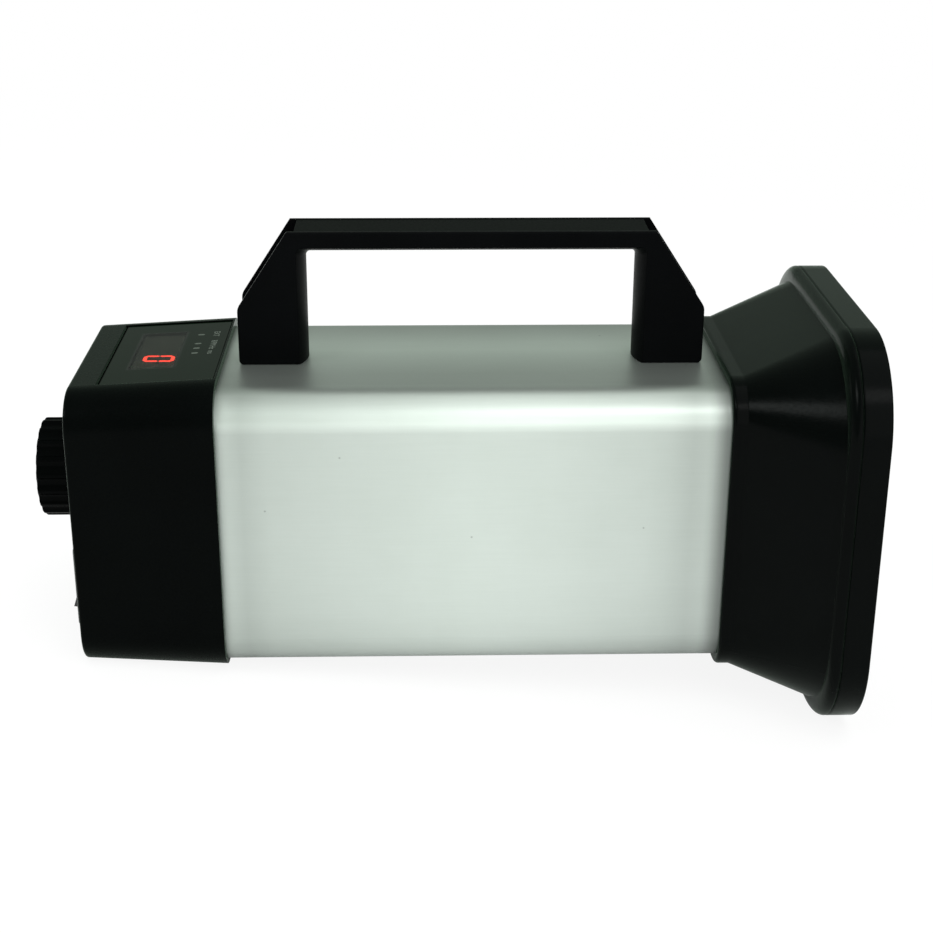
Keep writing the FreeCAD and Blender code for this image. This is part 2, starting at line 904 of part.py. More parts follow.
def knob():
    tip, base = knob_span()
    body = rod(point(tip, 0, knob_height), along_x, knob_radius, knob_length)
    body = body.makeFillet(knob_edge, edges_at_x(body, tip))
    cuts = []
    cutter_orbit = knob_radius + knob_flute_radius - knob_flute_depth
    for index in range(knob_flutes):
        centre = point(tip - overrun, 0, knob_height) + spoke(index * 2 * math.pi / knob_flutes, cutter_orbit)
        cuts.append(rod(centre, along_x, knob_flute_radius, knob_length + 2 * overrun))
    hollow_start = point(base - knob_hollow_depth, 0, knob_height)
    cuts.append(rod(hollow_start, along_x, knob_hollow_radius, knob_hollow_depth + overrun))
    low, high = shaft_span()
    cuts.append(rod(point(low, 0, knob_height), along_x, shaft_radius + running_gap / 2, high - low))
    recess_start = point(tip - overrun, 0, knob_height)
    cuts.append(rod(recess_start, along_x, knob_cap_radius, knob_cap_thickness + overrun))
    cuts.append(rod(grub_start(), along_y, grub_radius + running_gap / 2, knob_radius))
    return without(body, cuts)


def grub_start():
    """Inner end of the grub screw, on the far side of the shaft."""
    tip, base = knob_span()
    return point((tip + base) / 2, shaft_radius, knob_height)


def knob_grub_screw():
    start = grub_start()
    screw = rod(start, along_y, grub_radius, grub_length)
    reach = grub_radius + overrun
    clear = rod(point(start.x - reach, 0, knob_height), along_x, shaft_radius, 2 * reach)
    socket_start = start + along_y * (grub_length - grub_socket_depth)
    socket = hexagon(socket_start, along_y, along_x, 2 * grub_socket_radius, grub_socket_depth)
    return screw.cut(clear).cut(socket)


def knob_cap():
    tip, base = knob_span()
    return rod(point(tip, 0, knob_height), along_x, knob_cap_radius - running_gap, knob_cap_thickness)


def button_cap(y):
    """One push button: the part that shows, a flange behind the wall and a foot on the plunger."""
    outer = cap_rear - button_proud
    shown = rounded_prism(
        outer, cap_inner + bore_gap, y, button_height, button_width, button_tall, button_corner
    )
    shown = shown.makeFillet(edge_break, edges_at_x(shown, outer))
    flange_low = cap_inner + bore_gap
    flange_high = flange_low + button_flange_thickness
    flange = rounded_prism(
        flange_low,
        flange_high,
        y,
        button_height,
        button_width + 2 * button_flange,
        button_tall + 2 * button_flange,
        button_corner,
    )
    foot_end = control_board_x - switch_depth - plunger_proud
    foot = rod(point(flange_low, y, button_height), along_x, plunger_radius, foot_end - flange_low)
    return joined(shown, [flange, foot])


def button_plunger(y):
    low = control_board_x - switch_depth - plunger_proud
    return rod(point(low, y, button_height), along_x, plunger_radius, plunger_proud + plunger_seat)


def switch_bodies():
    solids = []
    half = switch_size / 2
    low = control_board_x - switch_depth
    for y in button_places().values():
        body = block(low, control_board_x, y - half, y + half, button_height - half, button_height + half)
        well_depth = plunger_seat + button_travel + bore_gap
        well = rod(point(low, y, button_height), along_x, plunger_radius + running_gap, well_depth)
        solids.append(body.cut(well))
    return Part.makeCompound(solids)


def rocker_pivot():
    return point(cap_rear + rocker_pivot_depth - switch_rim_thickness, switch_centre_y, switch_centre_z)


def power_switch_body():
    half_y = switch_body_width / 2
    half_z = switch_body_height / 2
    y = switch_centre_y
    z = switch_centre_z
    body = block(cap_rear, cap_inner + switch_body_depth, y - half_y, y + half_y, z - half_z, z + half_z)
    rim_low = cap_rear - switch_rim_thickness
    rim = rounded_prism(rim_low, cap_rear, y, z, switch_rim_width, switch_rim_height, edge_break * 2)
    rim = rim.makeFillet(edge_break, edges_at_x(rim, rim_low))
    well_y = rocker_width / 2 + rocker_opening_gap
    well_z = rocker_length / 2 + rocker_end_gap
    well_low = rim_low - overrun
    well = block(well_low, rim_low + rocker_well_depth, y - well_y, y + well_y, z - well_z, z + well_z)
    pivot = rocker_pivot()
    pin_half = rocker_width / 2 + rocker_pin_length + rocker_opening_gap
    pin_start = point(pivot.x, y - pin_half, pivot.z)
    pin_hole = rod(pin_start, along_y, rocker_pin_radius + running_gap, 2 * pin_half)
    return body.fuse(rim).cut(well).cut(pin_hole)


def power_rocker():
    """The rocker at rest: tipped with its upper end pressed in, which is the on position."""
    pivot = rocker_pivot()
    half = rocker_length / 2
    y_low = switch_centre_y - rocker_width / 2
    face = [(-rocker_crest, -half), (-rocker_dip, 0), (-rocker_crest, half)]
    shape = face + [(rocker_keel, half), (rocker_keel, -half)]
    corners = [point(pivot.x + x, y_low, pivot.z + z) for x, z in shape]
    body = plate(corners, along_y * rocker_width)
    pin_start = point(pivot.x, y_low - rocker_pin_length, pivot.z)
    pin = rod(pin_start, along_y, rocker_pin_radius, rocker_width + 2 * rocker_pin_length)
    rocker = joined(body, [pin])
    rocker.rotate(pivot, along_y, rocker_tilt)
    return rocker


def solder_terminals():
    """Tags on the backs of the switch and the sockets, and the pin inside the charge socket."""
    solids = []
    tag_low = cap_inner + switch_body_depth
    for side in (-1, 1):
        z = switch_centre_z + side * switch_body_height / 4
        solids.append(tag(tag_low, switch_centre_y, z, terminal_length))
    jack_low = cap_inner + jack_body_length
    for y in (trigger_in_y, trigger_out_y):
        for side in (-1, 1):
            z = jack_height + side * jack_body_radius / 2
            solids.append(tag(jack_low, y, z, terminal_length / 2))
    charge_low = cap_inner + socket_body_length
    for side in (-1, 1):
        z = jack_height + side * socket_body_radius / 2
        solids.append(tag(charge_low, charge_socket_y, z, terminal_length / 2))
    pin_start = point(cap_rear - bush_proud + socket_pin_setback, charge_socket_y, jack_height)
    solids.append(rod(pin_start, along_x, socket_pin_radius, socket_bore_depth - socket_pin_setback))
    return Part.makeCompound(solids)


def tag(x_low, y, z, length):
    half = terminal_width / 4
    thin = terminal_thickness / 2
    return block(x_low, x_low + length, y - half, y + half, z - thin, z + thin)


def panel_socket(y, bush_outer, bore, body):
    """A round socket: its body behind the wall, its bush and its bore. Sizes are radius and length."""
    mouth = point(cap_rear - bush_proud, y, jack_height)
    inner = point(cap_inner, y, jack_height)
    bush = rod(mouth, along_x, bush_outer, cap_inner - mouth.x)
    return bush.fuse(rod(inner, along_x, *body)).cut(rod(mouth, along_x, *bore))


def trigger_jack(y):
    bore = (jack_bore_radius, jack_bore_depth)
    return panel_socket(y, jack_bush_radius, bore, (jack_body_radius, jack_body_length))


def charge_socket():
    bore = (socket_bore_radius, socket_bore_depth)
    return panel_socket(charge_socket_y, socket_bush_radius, bore, (socket_body_radius, socket_body_length))


def socket_nuts():
    """Round nuts on the three bushes, each with two spanner notches."""
    solids = []
    for y, radius in rear_socket_places():
        start = point(cap_rear - ring_nut_thickness, y, jack_height)
        outer = radius + ring_nut_wall
        nut = ring(start, along_x, outer, radius + running_gap, ring_nut_thickness)
        notch = block(
            start.x - overrun,
            start.x + ring_nut_thickness / 2,
            y - edge_break,
            y + edge_break,
            jack_height - outer - overrun,
            jack_height + outer + overrun,
        )
        core = radius + ring_nut_wall / 3
        inside = rod(start - along_x * overrun, along_x, core, ring_nut_thickness + 2 * overrun)
        solids.append(nut.cut(notch.cut(inside)))
    return Part.makeCompound(solids)


def handle_outline():
    """Side view of the handle, clockwise from the rear foot, with round shoulders and feet."""
    foot = tube_height
    half = handle_length / 2
    half_top = handle_top_length / 2
    shoulder = foot + handle_shoulder
    top = foot + handle_height
    corners = [
        point(-half, 0, foot),
        point(-half, 0, shoulder),
        point(-half_top, 0, top),
        point(half_top, 0, top),
        point(half, 0, shoulder),
        point(half, 0, foot),
    ]
    shoulder_radius = handle_shoulder_radius
    foot_radius = handle_foot_radius
    return rounded_outline(corners, {0: foot_radius, 1: shoulder_radius, 4: shoulder_radius, 5: foot_radius})


def rounded_outline(corners, radii):
    """A closed outline of straight runs, with an arc of the given radius at the numbered corners."""
    count = len(corners)
    starts = []
    ends = []
    edges = []
    arcs = {}
    for index, corner in enumerate(corners):
        radius = radii.get(index, 0)
        before = (corners[index - 1] - corner).normalize()
        after = (corners[(index + 1) % count] - corner).normalize()
        if radius == 0:
            starts.append(corner)
            ends.append(corner)
            continue
        half_angle = before.getAngle(after) / 2
        reach = radius / math.tan(half_angle)
        bisector = (before + after).normalize()
        middle = corner + bisector * (radius / math.sin(half_angle) - radius)
        starts.append(corner + before * reach)
        ends.append(corner + after * reach)
        arcs[index] = Part.Arc(starts[-1], middle, ends[-1]).toShape()
    for index in range(count):
        if index in arcs:
            edges.append(arcs[index])
        edges.append(Part.LineSegment(ends[index], starts[(index + 1) % count]).toShape())
    return Part.Wire(edges)


def face_radius(bulge):
    """Radius of a round face that stands out by bulge over the handle's width."""
    return ((handle_width / 2) ** 2 + bulge ** 2) / (2 * bulge)


def finger_gap_cutter():
    """The space under the handle, between round-faced legs and under a round-faced bar."""
    beyond = handle_width / 2 + overrun
    low = tube_height - overrun
    crest_x = handle_length / 2 - handle_leg_depth - handle_leg_bulge
    crest_z = tube_height + handle_height - handle_bar_depth - handle_bar_bulge
    reach = crest_x + 2 * handle_leg_bulge
    space = block(-reach, reach, -beyond, beyond, low, crest_z + 2 * handle_bar_bulge)
    leg = face_radius(handle_leg_bulge)
    bar = face_radius(handle_bar_bulge)
    faces = [rod(point(-reach, 0, crest_z + bar), along_x, bar, 2 * reach)]
    faces.append(rod(point(crest_x + leg, 0, low), along_z, leg, handle_height))
    faces.append(rod(point(-crest_x - leg, 0, low + handle_height), along_z * -1, leg, handle_height))
    space = without(space, faces)
    inner_edges = []
    for edge in space.Edges:
        box = edge.BoundBox
        if box.YLength > handle_width and box.ZMin > tube_height:
            inner_edges.append(edge)
    return space.makeFillet(handle_inner_corner, inner_edges)


def slope_channel(side):
    """The open channel down one slope of the handle, between its side walls."""
    foot = tube_height
    low = point(side * handle_length / 2, 0, foot + handle_shoulder)
    high = point(side * handle_top_length / 2, 0, foot + handle_height)
    run = (high - low).normalize()
    inward = point(-side * abs(run.z), 0, -abs(run.x))
    start = low - run * handle_shoulder
    end = high + run * handle_recess_depth
    half = handle_width / 2 - handle_side_wall
    corners = [
        start - inward * handle_shoulder,
        end - inward * handle_shoulder,
        end + inward * handle_channel_depth,
        start + inward * handle_channel_depth,
    ]
    corners = [corner - along_y * half for corner in corners]
    return plate(corners, along_y * (2 * half))


def handle():
    half_width = handle_width / 2
    side_face = Part.Face(handle_outline())
    body = side_face.translated(point(0, -half_width, 0)).extrude(along_y * handle_width)
    outer_edges = []
    for edge in body.Edges:
        box = edge.BoundBox
        if box.YLength < edge_break and box.ZMax > tube_height + edge_break:
            outer_edges.append(edge)
    body = body.makeFillet(handle_edge, outer_edges)
    body = body.cut(finger_gap_cutter())
    top = tube_height + handle_height
    half_channel = half_width - handle_side_wall
    half_top = handle_top_length / 2
    cuts = [
        block(-half_top, half_top, -half_channel, half_channel, top - handle_recess_depth, top + overrun),
        slope_channel(-1),
        slope_channel(1),
    ]
    for x in (-handle_hole_spacing / 2, handle_hole_spacing / 2):
        well = point(x, 0, tube_height + handle_well_floor)
        cuts.append(rod(well, along_z, handle_well_radius, handle_height))
        cuts.append(rod(point(x, 0, tube_height), along_z, handle_screw_radius + bore_gap, handle_height))
    return without(body, cuts)


def handle_cover():
    top = tube_height + handle_height
    low = top - handle_recess_depth
    half = handle_width / 2 - handle_side_wall - cover_gap
    return block(-cover_length / 2, cover_length / 2, -half, half, low, low + cover_thickness)


def handle_screws():
    screws = []
    seat = tube_height + handle_well_floor
    tip = inner_top - washer_thickness - nut_thickness - handle_screw_spare
    for x in (-handle_hole_spacing / 2, handle_hole_spacing / 2):
        head = rod(point(x, 0, seat), along_z, handle_head_radius, handle_head_height)
        head = head.makeFillet(edge_break, [edge for edge in head.Edges if edge.BoundBox.ZMin > seat])
        socket_floor = point(x, 0, seat + handle_head_height - handle_socket_depth)
        socket = hexagon(socket_floor, along_z, along_x, handle_socket_flats, handle_socket_depth + overrun)
        shank = rod(point(x, 0, tip), along_z, handle_screw_radius, seat - tip)
        screws.append(head.fuse(shank).cut(socket))
    return Part.makeCompound(screws)


def handle_washers():
    solids = []
    for x in (-handle_hole_spacing / 2, handle_hole_spacing / 2):
        start = point(x, 0, inner_top - washer_thickness)
        solids.append(ring(start, along_z, washer_radius, handle_screw_radius + bore_gap, washer_thickness))
    return Part.makeCompound(solids)


def handle_nuts():
    solids = []
    for x in (-handle_hole_spacing / 2, handle_hole_spacing / 2):
        start = point(x, 0, inner_top - washer_thickness - nut_thickness)
        nut = hexagon(start, along_z, along_x, nut_flats, nut_thickness)
        solids.append(nut.cut(rod(start, along_z, handle_screw_radius + running_gap, nut_thickness)))
    return Part.makeCompound(solids)


def hood_prism(x_low, x_high, width, height, corner):
    return rounded_prism(x_low, x_high, 0, hood_mid_height, width, height, corner)


def flare_section(share):
    """The flare's outer section at a share of its length: centre height, width, height and corner."""
    low = (flange_mid_height, flange_width, flange_height, flange_corner)
    high = (hood_mid_height, flare_end_width, flare_end_height, flare_end_corner)
    return between(low, high, share)


def between(low, high, share):
    return tuple(start + share * (end - start) for start, end in zip(low, high))


def hood_shoulder():
    """A quarter round that leads from the end of the flare up to the full front section."""
    low = flare_section(1)
    high = (hood_mid_height, bezel_width, bezel_height, bezel_corner)
    wires = []
    for step in range(shoulder_steps + 1):
        angle = quarter_turn * step / shoulder_steps
        x = flare_end + bezel_shoulder * (1 - math.cos(angle))
        wires.append(rounded_section(x, 0, *between(low, high, math.sin(angle))))
    return Part.makeLoft(wires, True, False)


def hood():
    flange = tapered_prism(front_seam, flare_section(0), flare_start, flare_section(0))
    flange = flange.makeFillet(flange_edge, edges_at_x(flange, front_seam))
    flare = tapered_prism(flare_start, flare_section(0), flare_end, flare_section(1))
    collar = hood_prism(flare_end + bezel_shoulder, hood_front, bezel_width, bezel_height, bezel_corner)
    collar = collar.makeChamfer(frame_joint_edge, edges_at_x(collar, hood_front))
    shell = joined(flange, [flare, hood_shoulder(), collar])
    back = drawn_in(flare_section(0), hood_wall)
    front = drawn_in(flare_section((land_back - flare_start) / flare_length), hood_wall)
    cavity = tapered_prism(bulkhead_front, back, land_back, front)
    mouth = lens_stack_prism(land_back, hood_front, mouth_lap)
    shell = without(shell, [cavity, mouth])
    shell = joined(shell, corner_tongues(front_seam, 1))
    start = front_seam - tongue_length - overrun
    through = bulkhead_front - start + overrun
    cuts = [rod(point(start, 0, hood_mid_height), along_x, hood_lamp_hole, through)]
    for y, z in channel_places:
        cuts.append(rod(point(start, y, z), along_x, screw_radius + bore_gap, through))
    for y in (-bracket_screw_offset, bracket_screw_offset):
        place = point(front_seam - overrun, y, hood_mid_height)
        cuts.append(rod(place, along_x, screw_radius + bore_gap, hood_bulkhead + 2 * overrun))
    for y, z in frame_screw_places():
        place = point(hood_front - frame_screw_grip, y, z)
        cuts.append(rod(place, along_x, screw_radius + running_gap, frame_screw_grip + overrun))
    return without(shell, cuts)


def frame_screw_places():
    places = []
    for y in (-frame_screw_y, frame_screw_y):
        for z in (hood_mid_height - frame_screw_z, hood_mid_height + frame_screw_z):
            places.append((y, z))
    return places


def rearward_screws(seat_x, places, grip):
    """Pan screws driven towards -X, with their heads on the plane at seat_x."""
    return Part.makeCompound([pan_screw(point(seat_x, y, z), along_x * -1, grip) for y, z in places])


def hood_screws():
    return rearward_screws(bulkhead_front, channel_places, hood_bulkhead + hood_screw_grip)


def front_frame():
    body = hood_prism(hood_front, frame_front, bezel_width, bezel_height, bezel_corner)
    body = body.makeFillet(frame_edge, edges_at_x(body, frame_front))
    body = body.makeChamfer(frame_joint_edge, edges_at_x(body, hood_front))
    rebate = lens_stack_prism(hood_front, lens_front, -lens_gap)
    narrow = drawn_in((hood_mid_height, lens_width, lens_height, lens_corner), frame_lip_lap)
    opening = tapered_prism(lens_front, narrow, frame_front, drawn_in(narrow, -frame_opening_flare))
    cuts = [rebate, opening]
    for y, z in frame_screw_places():
        start = point(hood_front - overrun, y, z)
        cuts.append(rod(start, along_x, screw_radius + bore_gap, frame_depth + 2 * overrun))
        head_seat = point(frame_screw_seat, y, z)
        head_depth = frame_front - frame_screw_seat + overrun
        cuts.append(rod(head_seat, along_x, screw_head_radius + bore_gap, head_depth))
    return without(body, cuts)


def frame_screws():
    grip = frame_screw_seat - hood_front + frame_screw_grip - bore_gap
    return rearward_screws(frame_screw_seat, frame_screw_places(), grip)


def lens_stack_prism(x_low, x_high, inset):
    return hood_prism(x_low, x_high, lens_width - 2 * inset, lens_height - 2 * inset, lens_corner - inset)


def lens():
    return lens_stack_prism(gasket_front, lens_front, 0)


def lens_gasket():
    outer = lens_stack_prism(dish_front, gasket_front, 0)
    return outer.cut(lens_stack_prism(dish_front, gasket_front, gasket_width))


def dish_radius(x):
    return math.sqrt(4 * dish_focus * (x - dish_apex))


def reflector():
    """A spun dish with a neck behind, and a flat plate round its mouth."""
    hole_x = dish_apex + dish_hole_radius ** 2 / (4 * dish_focus)
    inner_spots = []
    outer_spots = []
    for step in range(dish_steps + 1):
        share = (step / dish_steps) ** 2
        x = hole_x + (dish_front - hole_x) * share
        inner_spots.append(point(x, dish_radius(x), 0))
        outer_spots.append(point(x, dish_radius(x) + dish_thickness, 0))
    inner_curve = Part.BSplineCurve()
    inner_curve.interpolate(inner_spots)
    outer_curve = Part.BSplineCurve()
    outer_curve.interpolate(list(reversed(outer_spots)))
    neck_inner = point(dish_apex, dish_hole_radius, 0)
    neck_outer = point(dish_apex, dish_hole_radius + dish_thickness, 0)
    edges = [
        inner_curve.toShape(),
        Part.LineSegment(inner_spots[-1], outer_spots[-1]).toShape(),
        outer_curve.toShape(),
        Part.LineSegment(outer_spots[0], neck_outer).toShape(),
        Part.LineSegment(neck_outer, neck_inner).toShape(),
        Part.LineSegment(neck_inner, inner_spots[0]).toShape(),
    ]
    dish = Part.Face(Part.Wire(edges)).revolve(point(0, 0, 0), along_x, full_circle)
    dish.translate(point(0, 0, hood_mid_height))
    rim = lens_stack_prism(hood_front, dish_front, 0)
    hole = rod(
        point(hood_front - overrun, 0, hood_mid_height),
        along_x,
        dish_mouth_radius + dish_thickness / 2,
        dish_plate_thickness + 2 * overrun,
    )
    return joined(rim.cut(hole), [dish])


def lamp_leg_places():
    return (-tube_leg_spread / 2, tube_leg_spread / 2)


def lamp_rods(x_low, x_high, radius):
    """One straight rod on the line of each leg of the lamp."""
    return [rod(point(x_low, y, hood_mid_height), along_x, radius, x_high - x_low) for y in lamp_leg_places()]


def lamp_base():
    radius = dish_hole_radius - base_gap
    base = rod(point(bracket_front, 0, hood_mid_height), along_x, radius, base_thickness)
    cuts = []
    pocket_x = base_front - base_pocket_depth
    for y in lamp_leg_places():
        start = point(pocket_x, y, hood_mid_height)
        cuts.append(rod(start, along_x, tube_glass_radius + running_gap, base_pocket_depth + overrun))
        pin_start = point(bracket_front - overrun, y, hood_mid_height)
        cuts.append(rod(pin_start, along_x, electrode_radius + running_gap, base_thickness + 2 * overrun))
    cuts.append(rod(trigger_foot(), along_x, trigger_wire_radius + running_gap, base_thickness))
    return without(base, cuts)


def u_tube(radius):
    """A solid U of the lamp's centre line: two legs joined by a half round bend."""
    bend_x = base_front + tube_leg_height
    bend_centre = point(bend_x, 0, hood_mid_height)
    leg_top = bend_centre + along_y * (tube_leg_spread / 2)
    circle = Part.Face(Part.Wire(Part.Circle(leg_top, along_x, radius).toShape()))
    bend = circle.revolve(bend_centre, along_z * -1, full_circle / 2)
    return lamp_rods(base_front - base_pocket_depth, bend_x, radius), bend


def flash_tube():
    outer_legs, outer_bend = u_tube(tube_glass_radius)
    inner_legs, inner_bend = u_tube(tube_bore_radius)
    outer = joined(outer_legs[0], [outer_legs[1], outer_bend])
    inner = joined(inner_legs[0], [inner_legs[1], inner_bend])
    return outer.cut(inner)


def tube_electrodes():
    """Two rods, from the lamp socket through the base into the ends of the glass."""
    low = bracket_back - socket_pin_depth
    return Part.makeCompound(lamp_rods(low, base_front + electrode_reach, electrode_radius))


def tangent_arc(start, corner, end):
    """The arc from start to end whose end tangents meet at corner."""
    middle = (start + end) / 2
    half_chord = (end - start).Length / 2
    cosine = half_chord / (corner - start).Length
    rise = half_chord * math.sqrt((1 - cosine) / (1 + cosine))
    return Part.Arc(start, middle + (corner - middle).normalize() * rise, end).toShape()


def biarc(start, start_way, end, end_way):
    """Two arcs that meet smoothly, from one place and direction to another."""
    chord = end - start
    along = chord.dot(start_way + end_way)
    turn = 2 * (1 - start_way.dot(end_way))
    reach = (math.sqrt(along ** 2 + turn * chord.dot(chord)) - along) / turn
    first = start + start_way * reach
    second = end - end_way * reach
    joint = (first + second) / 2
    return [tangent_arc(start, first, joint), tangent_arc(joint, second, end)]


def winding_place(angle):
    """Place and direction on the trigger wire's winding, which starts on the side of the other leg."""
    orbit = tube_glass_radius + running_gap + trigger_wire_radius
    centre = point(base_front + trigger_start, tube_leg_spread / 2, hood_mid_height)
    side_angle = math.pi + angle
    advance = trigger_pitch * angle / (2 * math.pi)
    place = centre + spoke(side_angle, orbit) + along_x * advance
    way = spoke(side_angle + quarter_turn, orbit) + along_x * (trigger_pitch / (2 * math.pi))
    return place, way.normalize()


def trigger_bend_start():
    """Where the wire leaves its straight foot for the winding."""
    place, way = winding_place(0)
    sideways = point(0, way.y, way.z).normalize()
    return place - (along_x + sideways) * trigger_bend


def trigger_foot():
    start = trigger_bend_start()
    return point(base_front - trigger_lead_depth, start.y, start.z)


def trigger_path():
    """Edges of the wire's centre line: a straight foot, a bend and the winding by quarter turns."""
    foot = trigger_foot()
    bend_start = trigger_bend_start()
    edges = [Part.LineSegment(foot, bend_start).toShape()]
    edges.extend(biarc(bend_start, along_x, *winding_place(0)))
    for quarter in range(4 * trigger_turns):
        ends = winding_place(quarter * quarter_turn) + winding_place((quarter + 1) * quarter_turn)
        edges.extend(biarc(*ends))
    return edges


def least_gap(edges, radius, apart):
    """Least gap of a round wire to itself, between points of its centre line further along than apart."""
    places = []
    travelled = 0
    for edge in edges:
        count = gap_samples
        for index in range(count):
            share = index / count
            span = edge.LastParameter - edge.FirstParameter
            places.append((travelled + edge.Length * share, edge.valueAt(edge.FirstParameter + span * share)))
        travelled += edge.Length
    gaps = [
        (one - other).Length
        for (first, one), (second, other) in itertools.combinations(places, 2)
        if second - first > apart
    ]
    return min(gaps) - 2 * radius


def trigger_wire():
    """Fine wire wound round one leg of the lamp, with its foot in the base."""
    edges = trigger_path()
    outline = Part.Wire(Part.Circle(trigger_foot(), along_x, trigger_wire_radius).toShape())
    half_turn = math.pi * (tube_glass_radius + running_gap + trigger_wire_radius)
    print("trigger_wire least gap to itself, mm:", round(least_gap(edges, trigger_wire_radius, half_turn), 2))
    return swept(outline, edges)


def socket_screw_heights():
    return (hood_mid_height - socket_screw_offset, hood_mid_height + socket_screw_offset)


def lamp_bracket():
    """A U of sheet steel: it holds the socket and stands on the back of the hood's bulkhead."""
    half_arm = bracket_arm_width / 2
    half_plate = socket_height / 2
    z = hood_mid_height
    inner = bracket_half_span
    outer = inner + bracket_thickness
    foot_end = outer + bracket_foot
    foot_back = front_seam - bracket_thickness
    base = block(bracket_back, bracket_front, -outer, outer, z - half_arm, z + half_arm)
    parts = [block(bracket_back, bracket_front, -half_arm, half_arm, z - half_plate, z + half_plate)]
    for side in (-1, 1):
        low, high = sorted((side * inner, side * outer))
        parts.append(block(bracket_back, front_seam, low, high, z - half_arm, z + half_arm))
        low, high = sorted((side * inner, side * foot_end))
        parts.append(block(foot_back, front_seam, low, high, z - half_arm, z + half_arm))
    solid = joined(base, parts)
    through = bracket_thickness + 2 * overrun
    cuts = []
    for y in lamp_leg_places():
        start = point(bracket_back - overrun, y, z)
        cuts.append(rod(start, along_x, electrode_radius + bracket_pin_gap, through))
    for height in socket_screw_heights():
        start = point(bracket_back - overrun, 0, height)
        cuts.append(rod(start, along_x, screw_radius + bore_gap, through))
    for y in (-bracket_screw_offset, bracket_screw_offset):
        start = point(foot_back - overrun, y, z)
        cuts.append(rod(start, along_x, screw_radius + running_gap, through))
    return without(solid, cuts)


def lamp_socket():
    """A ceramic block behind the bracket, with holes for the lamp's pins and its two screws."""
    half_y = socket_width / 2
    half_z = socket_height / 2
    z = hood_mid_height
    body = block(bracket_back - socket_depth, bracket_back, -half_y, half_y, z - half_z, z + half_z)
    cuts = []
    for y in lamp_leg_places():
        start = point(bracket_back - socket_pin_depth, y, z)
        cuts.append(rod(start, along_x, electrode_radius + running_gap, socket_pin_depth + overrun))
    for height in socket_screw_heights():
        start = point(bracket_back - socket_screw_grip - socket_screw_room, 0, height)
        cuts.append(rod(start, along_x, screw_radius + running_gap, socket_depth))
    return without(body, cuts)


def socket_screws():
    """Two screws through the bracket into the socket, and two that hold the bracket to the hood."""
    screws = []
    for height in socket_screw_heights():
        seat = point(bracket_front, 0, height)
        grip = bracket_thickness + socket_screw_grip
        screws.append(pan_screw(seat, along_x * -1, grip))
    for y in (-bracket_screw_offset, bracket_screw_offset):
        seat = point(bulkhead_front, y, hood_mid_height)
        grip = hood_bulkhead + bracket_thickness + screw_end
        screws.append(pan_screw(seat, along_x * -1, grip))
    return Part.makeCompound(screws)


def tripod_bush():
    """A threaded brass bush through the floor of the tube, open below and flanged inside."""
    body = rod(point(0, 0, 0), along_z, bush_radius, bush_height)
    flange = rod(point(0, 0, inner_floor), along_z, bush_flange_radius, bush_flange_thickness)
    thread = rod(point(0, 0, 0), along_z, bush_thread_radius, bush_thread_depth)
    return joined(body, [flange]).cut(thread)


def main_board():
    """The board that slides in the tube's grooves."""
    half_x = tube_length / 2 - board_end_setback
    half_y = inner_half_width - board_side_gap
    return block(-half_x, half_x, -half_y, half_y, groove_height, board_top)


def flash_capacitors():
    solids = []
    for y in (-capacitor_spread / 2, capacitor_spread / 2):
        start = point(capacitor_start, y, board_top + capacitor_radius)
        can = rod(start, along_x, capacitor_radius, capacitor_length)
        solids.append(can.makeFillet(edge_break, edges_at_x(can, capacitor_start + capacitor_length)))
    return Part.makeCompound(solids)


def lead_foot_x():
    """Where the lamp leads stand on the board, behind the lamp socket."""
    return bracket_back - socket_depth - lead_run - lead_bend


def core_centre():
    return point(lead_foot_x() - core_lead_gap - core_length / 2, core_centre_y, board_top)


def block_round(centre, length, depth, z_low, z_high):
    """An upright block of that length and depth, centred in plan on a point."""
    half_x = length / 2
    half_y = depth / 2
    return block(centre.x - half_x, centre.x + half_x, centre.y - half_y, centre.y + half_y, z_low, z_high)


def core_leg_box(spread):
    """The centre leg's column, widened by spread on each side, over the height of the windows."""
    low = board_top + (core_height - core_window_height) / 2
    length = core_leg_width + 2 * spread
    return block_round(core_centre(), length, core_depth + 2 * spread, low, low + core_window_height)


def transformer_core():
    """A ferrite core with an upright centre leg between two windows."""
    centre = core_centre()
    core = block_round(centre, core_length, core_depth, board_top, board_top + core_height)
    window_low = board_top + (core_height - core_window_height) / 2
    window_high = window_low + core_window_height
    cuts = []
    for side in (-1, 1):
        window = centre + along_x * (side * (core_leg_width + core_window_width) / 2)
        cuts.append(block_round(window, core_window_width, core_depth + 2 * overrun, window_low, window_high))
    return without(core, cuts)


def transformer_winding():
    """The wound bobbin round the centre leg, standing on the lower yoke."""
    outer = core_leg_box(core_window_width - winding_gap)
    inner = core_leg_box(seat_gap)
    return outer.cut(inner)


def trigger_coil():
    start = point(lead_foot_x() - core_lead_gap - coil_length, coil_y, board_top + coil_radius)
    return rod(start, along_x, coil_radius, coil_length)


def battery_packs():
    """Two packs of cylindrical cells, side by side on their pads, with the raised ends outward."""
    solids = []
    body_length = cell_length - cell_terminal_length
    height = inner_floor + pad_thickness + cell_radius
    for side in (-1, 1):
        for index in range(cells_in_pack):
            y = (index - (cells_in_pack - 1) / 2) * cell_pitch
            direction = along_x * side
            start = point(side * cell_start, y, height)
            body = rod(start, direction, cell_radius, body_length)
            nub = rod(start + direction * body_length, direction, cell_terminal_radius, cell_terminal_length)
            solids.append(body.fuse(nub))
    return Part.makeCompound(solids)


def battery_pads():
    """A strip of foam under each pack, stuck to the floor of the tube."""
    solids = []
    half_y = (cells_in_pack - 1) / 2 * cell_pitch + pad_inset
    for side in (-1, 1):
        near = side * (cell_start + pad_inset)
        far = side * (cell_start + cell_length - cell_terminal_length - pad_inset)
        low, high = sorted((near, far))
        solids.append(block(low, high, -half_y, half_y, inner_floor, inner_floor + pad_thickness))
    return Part.makeCompound(solids)


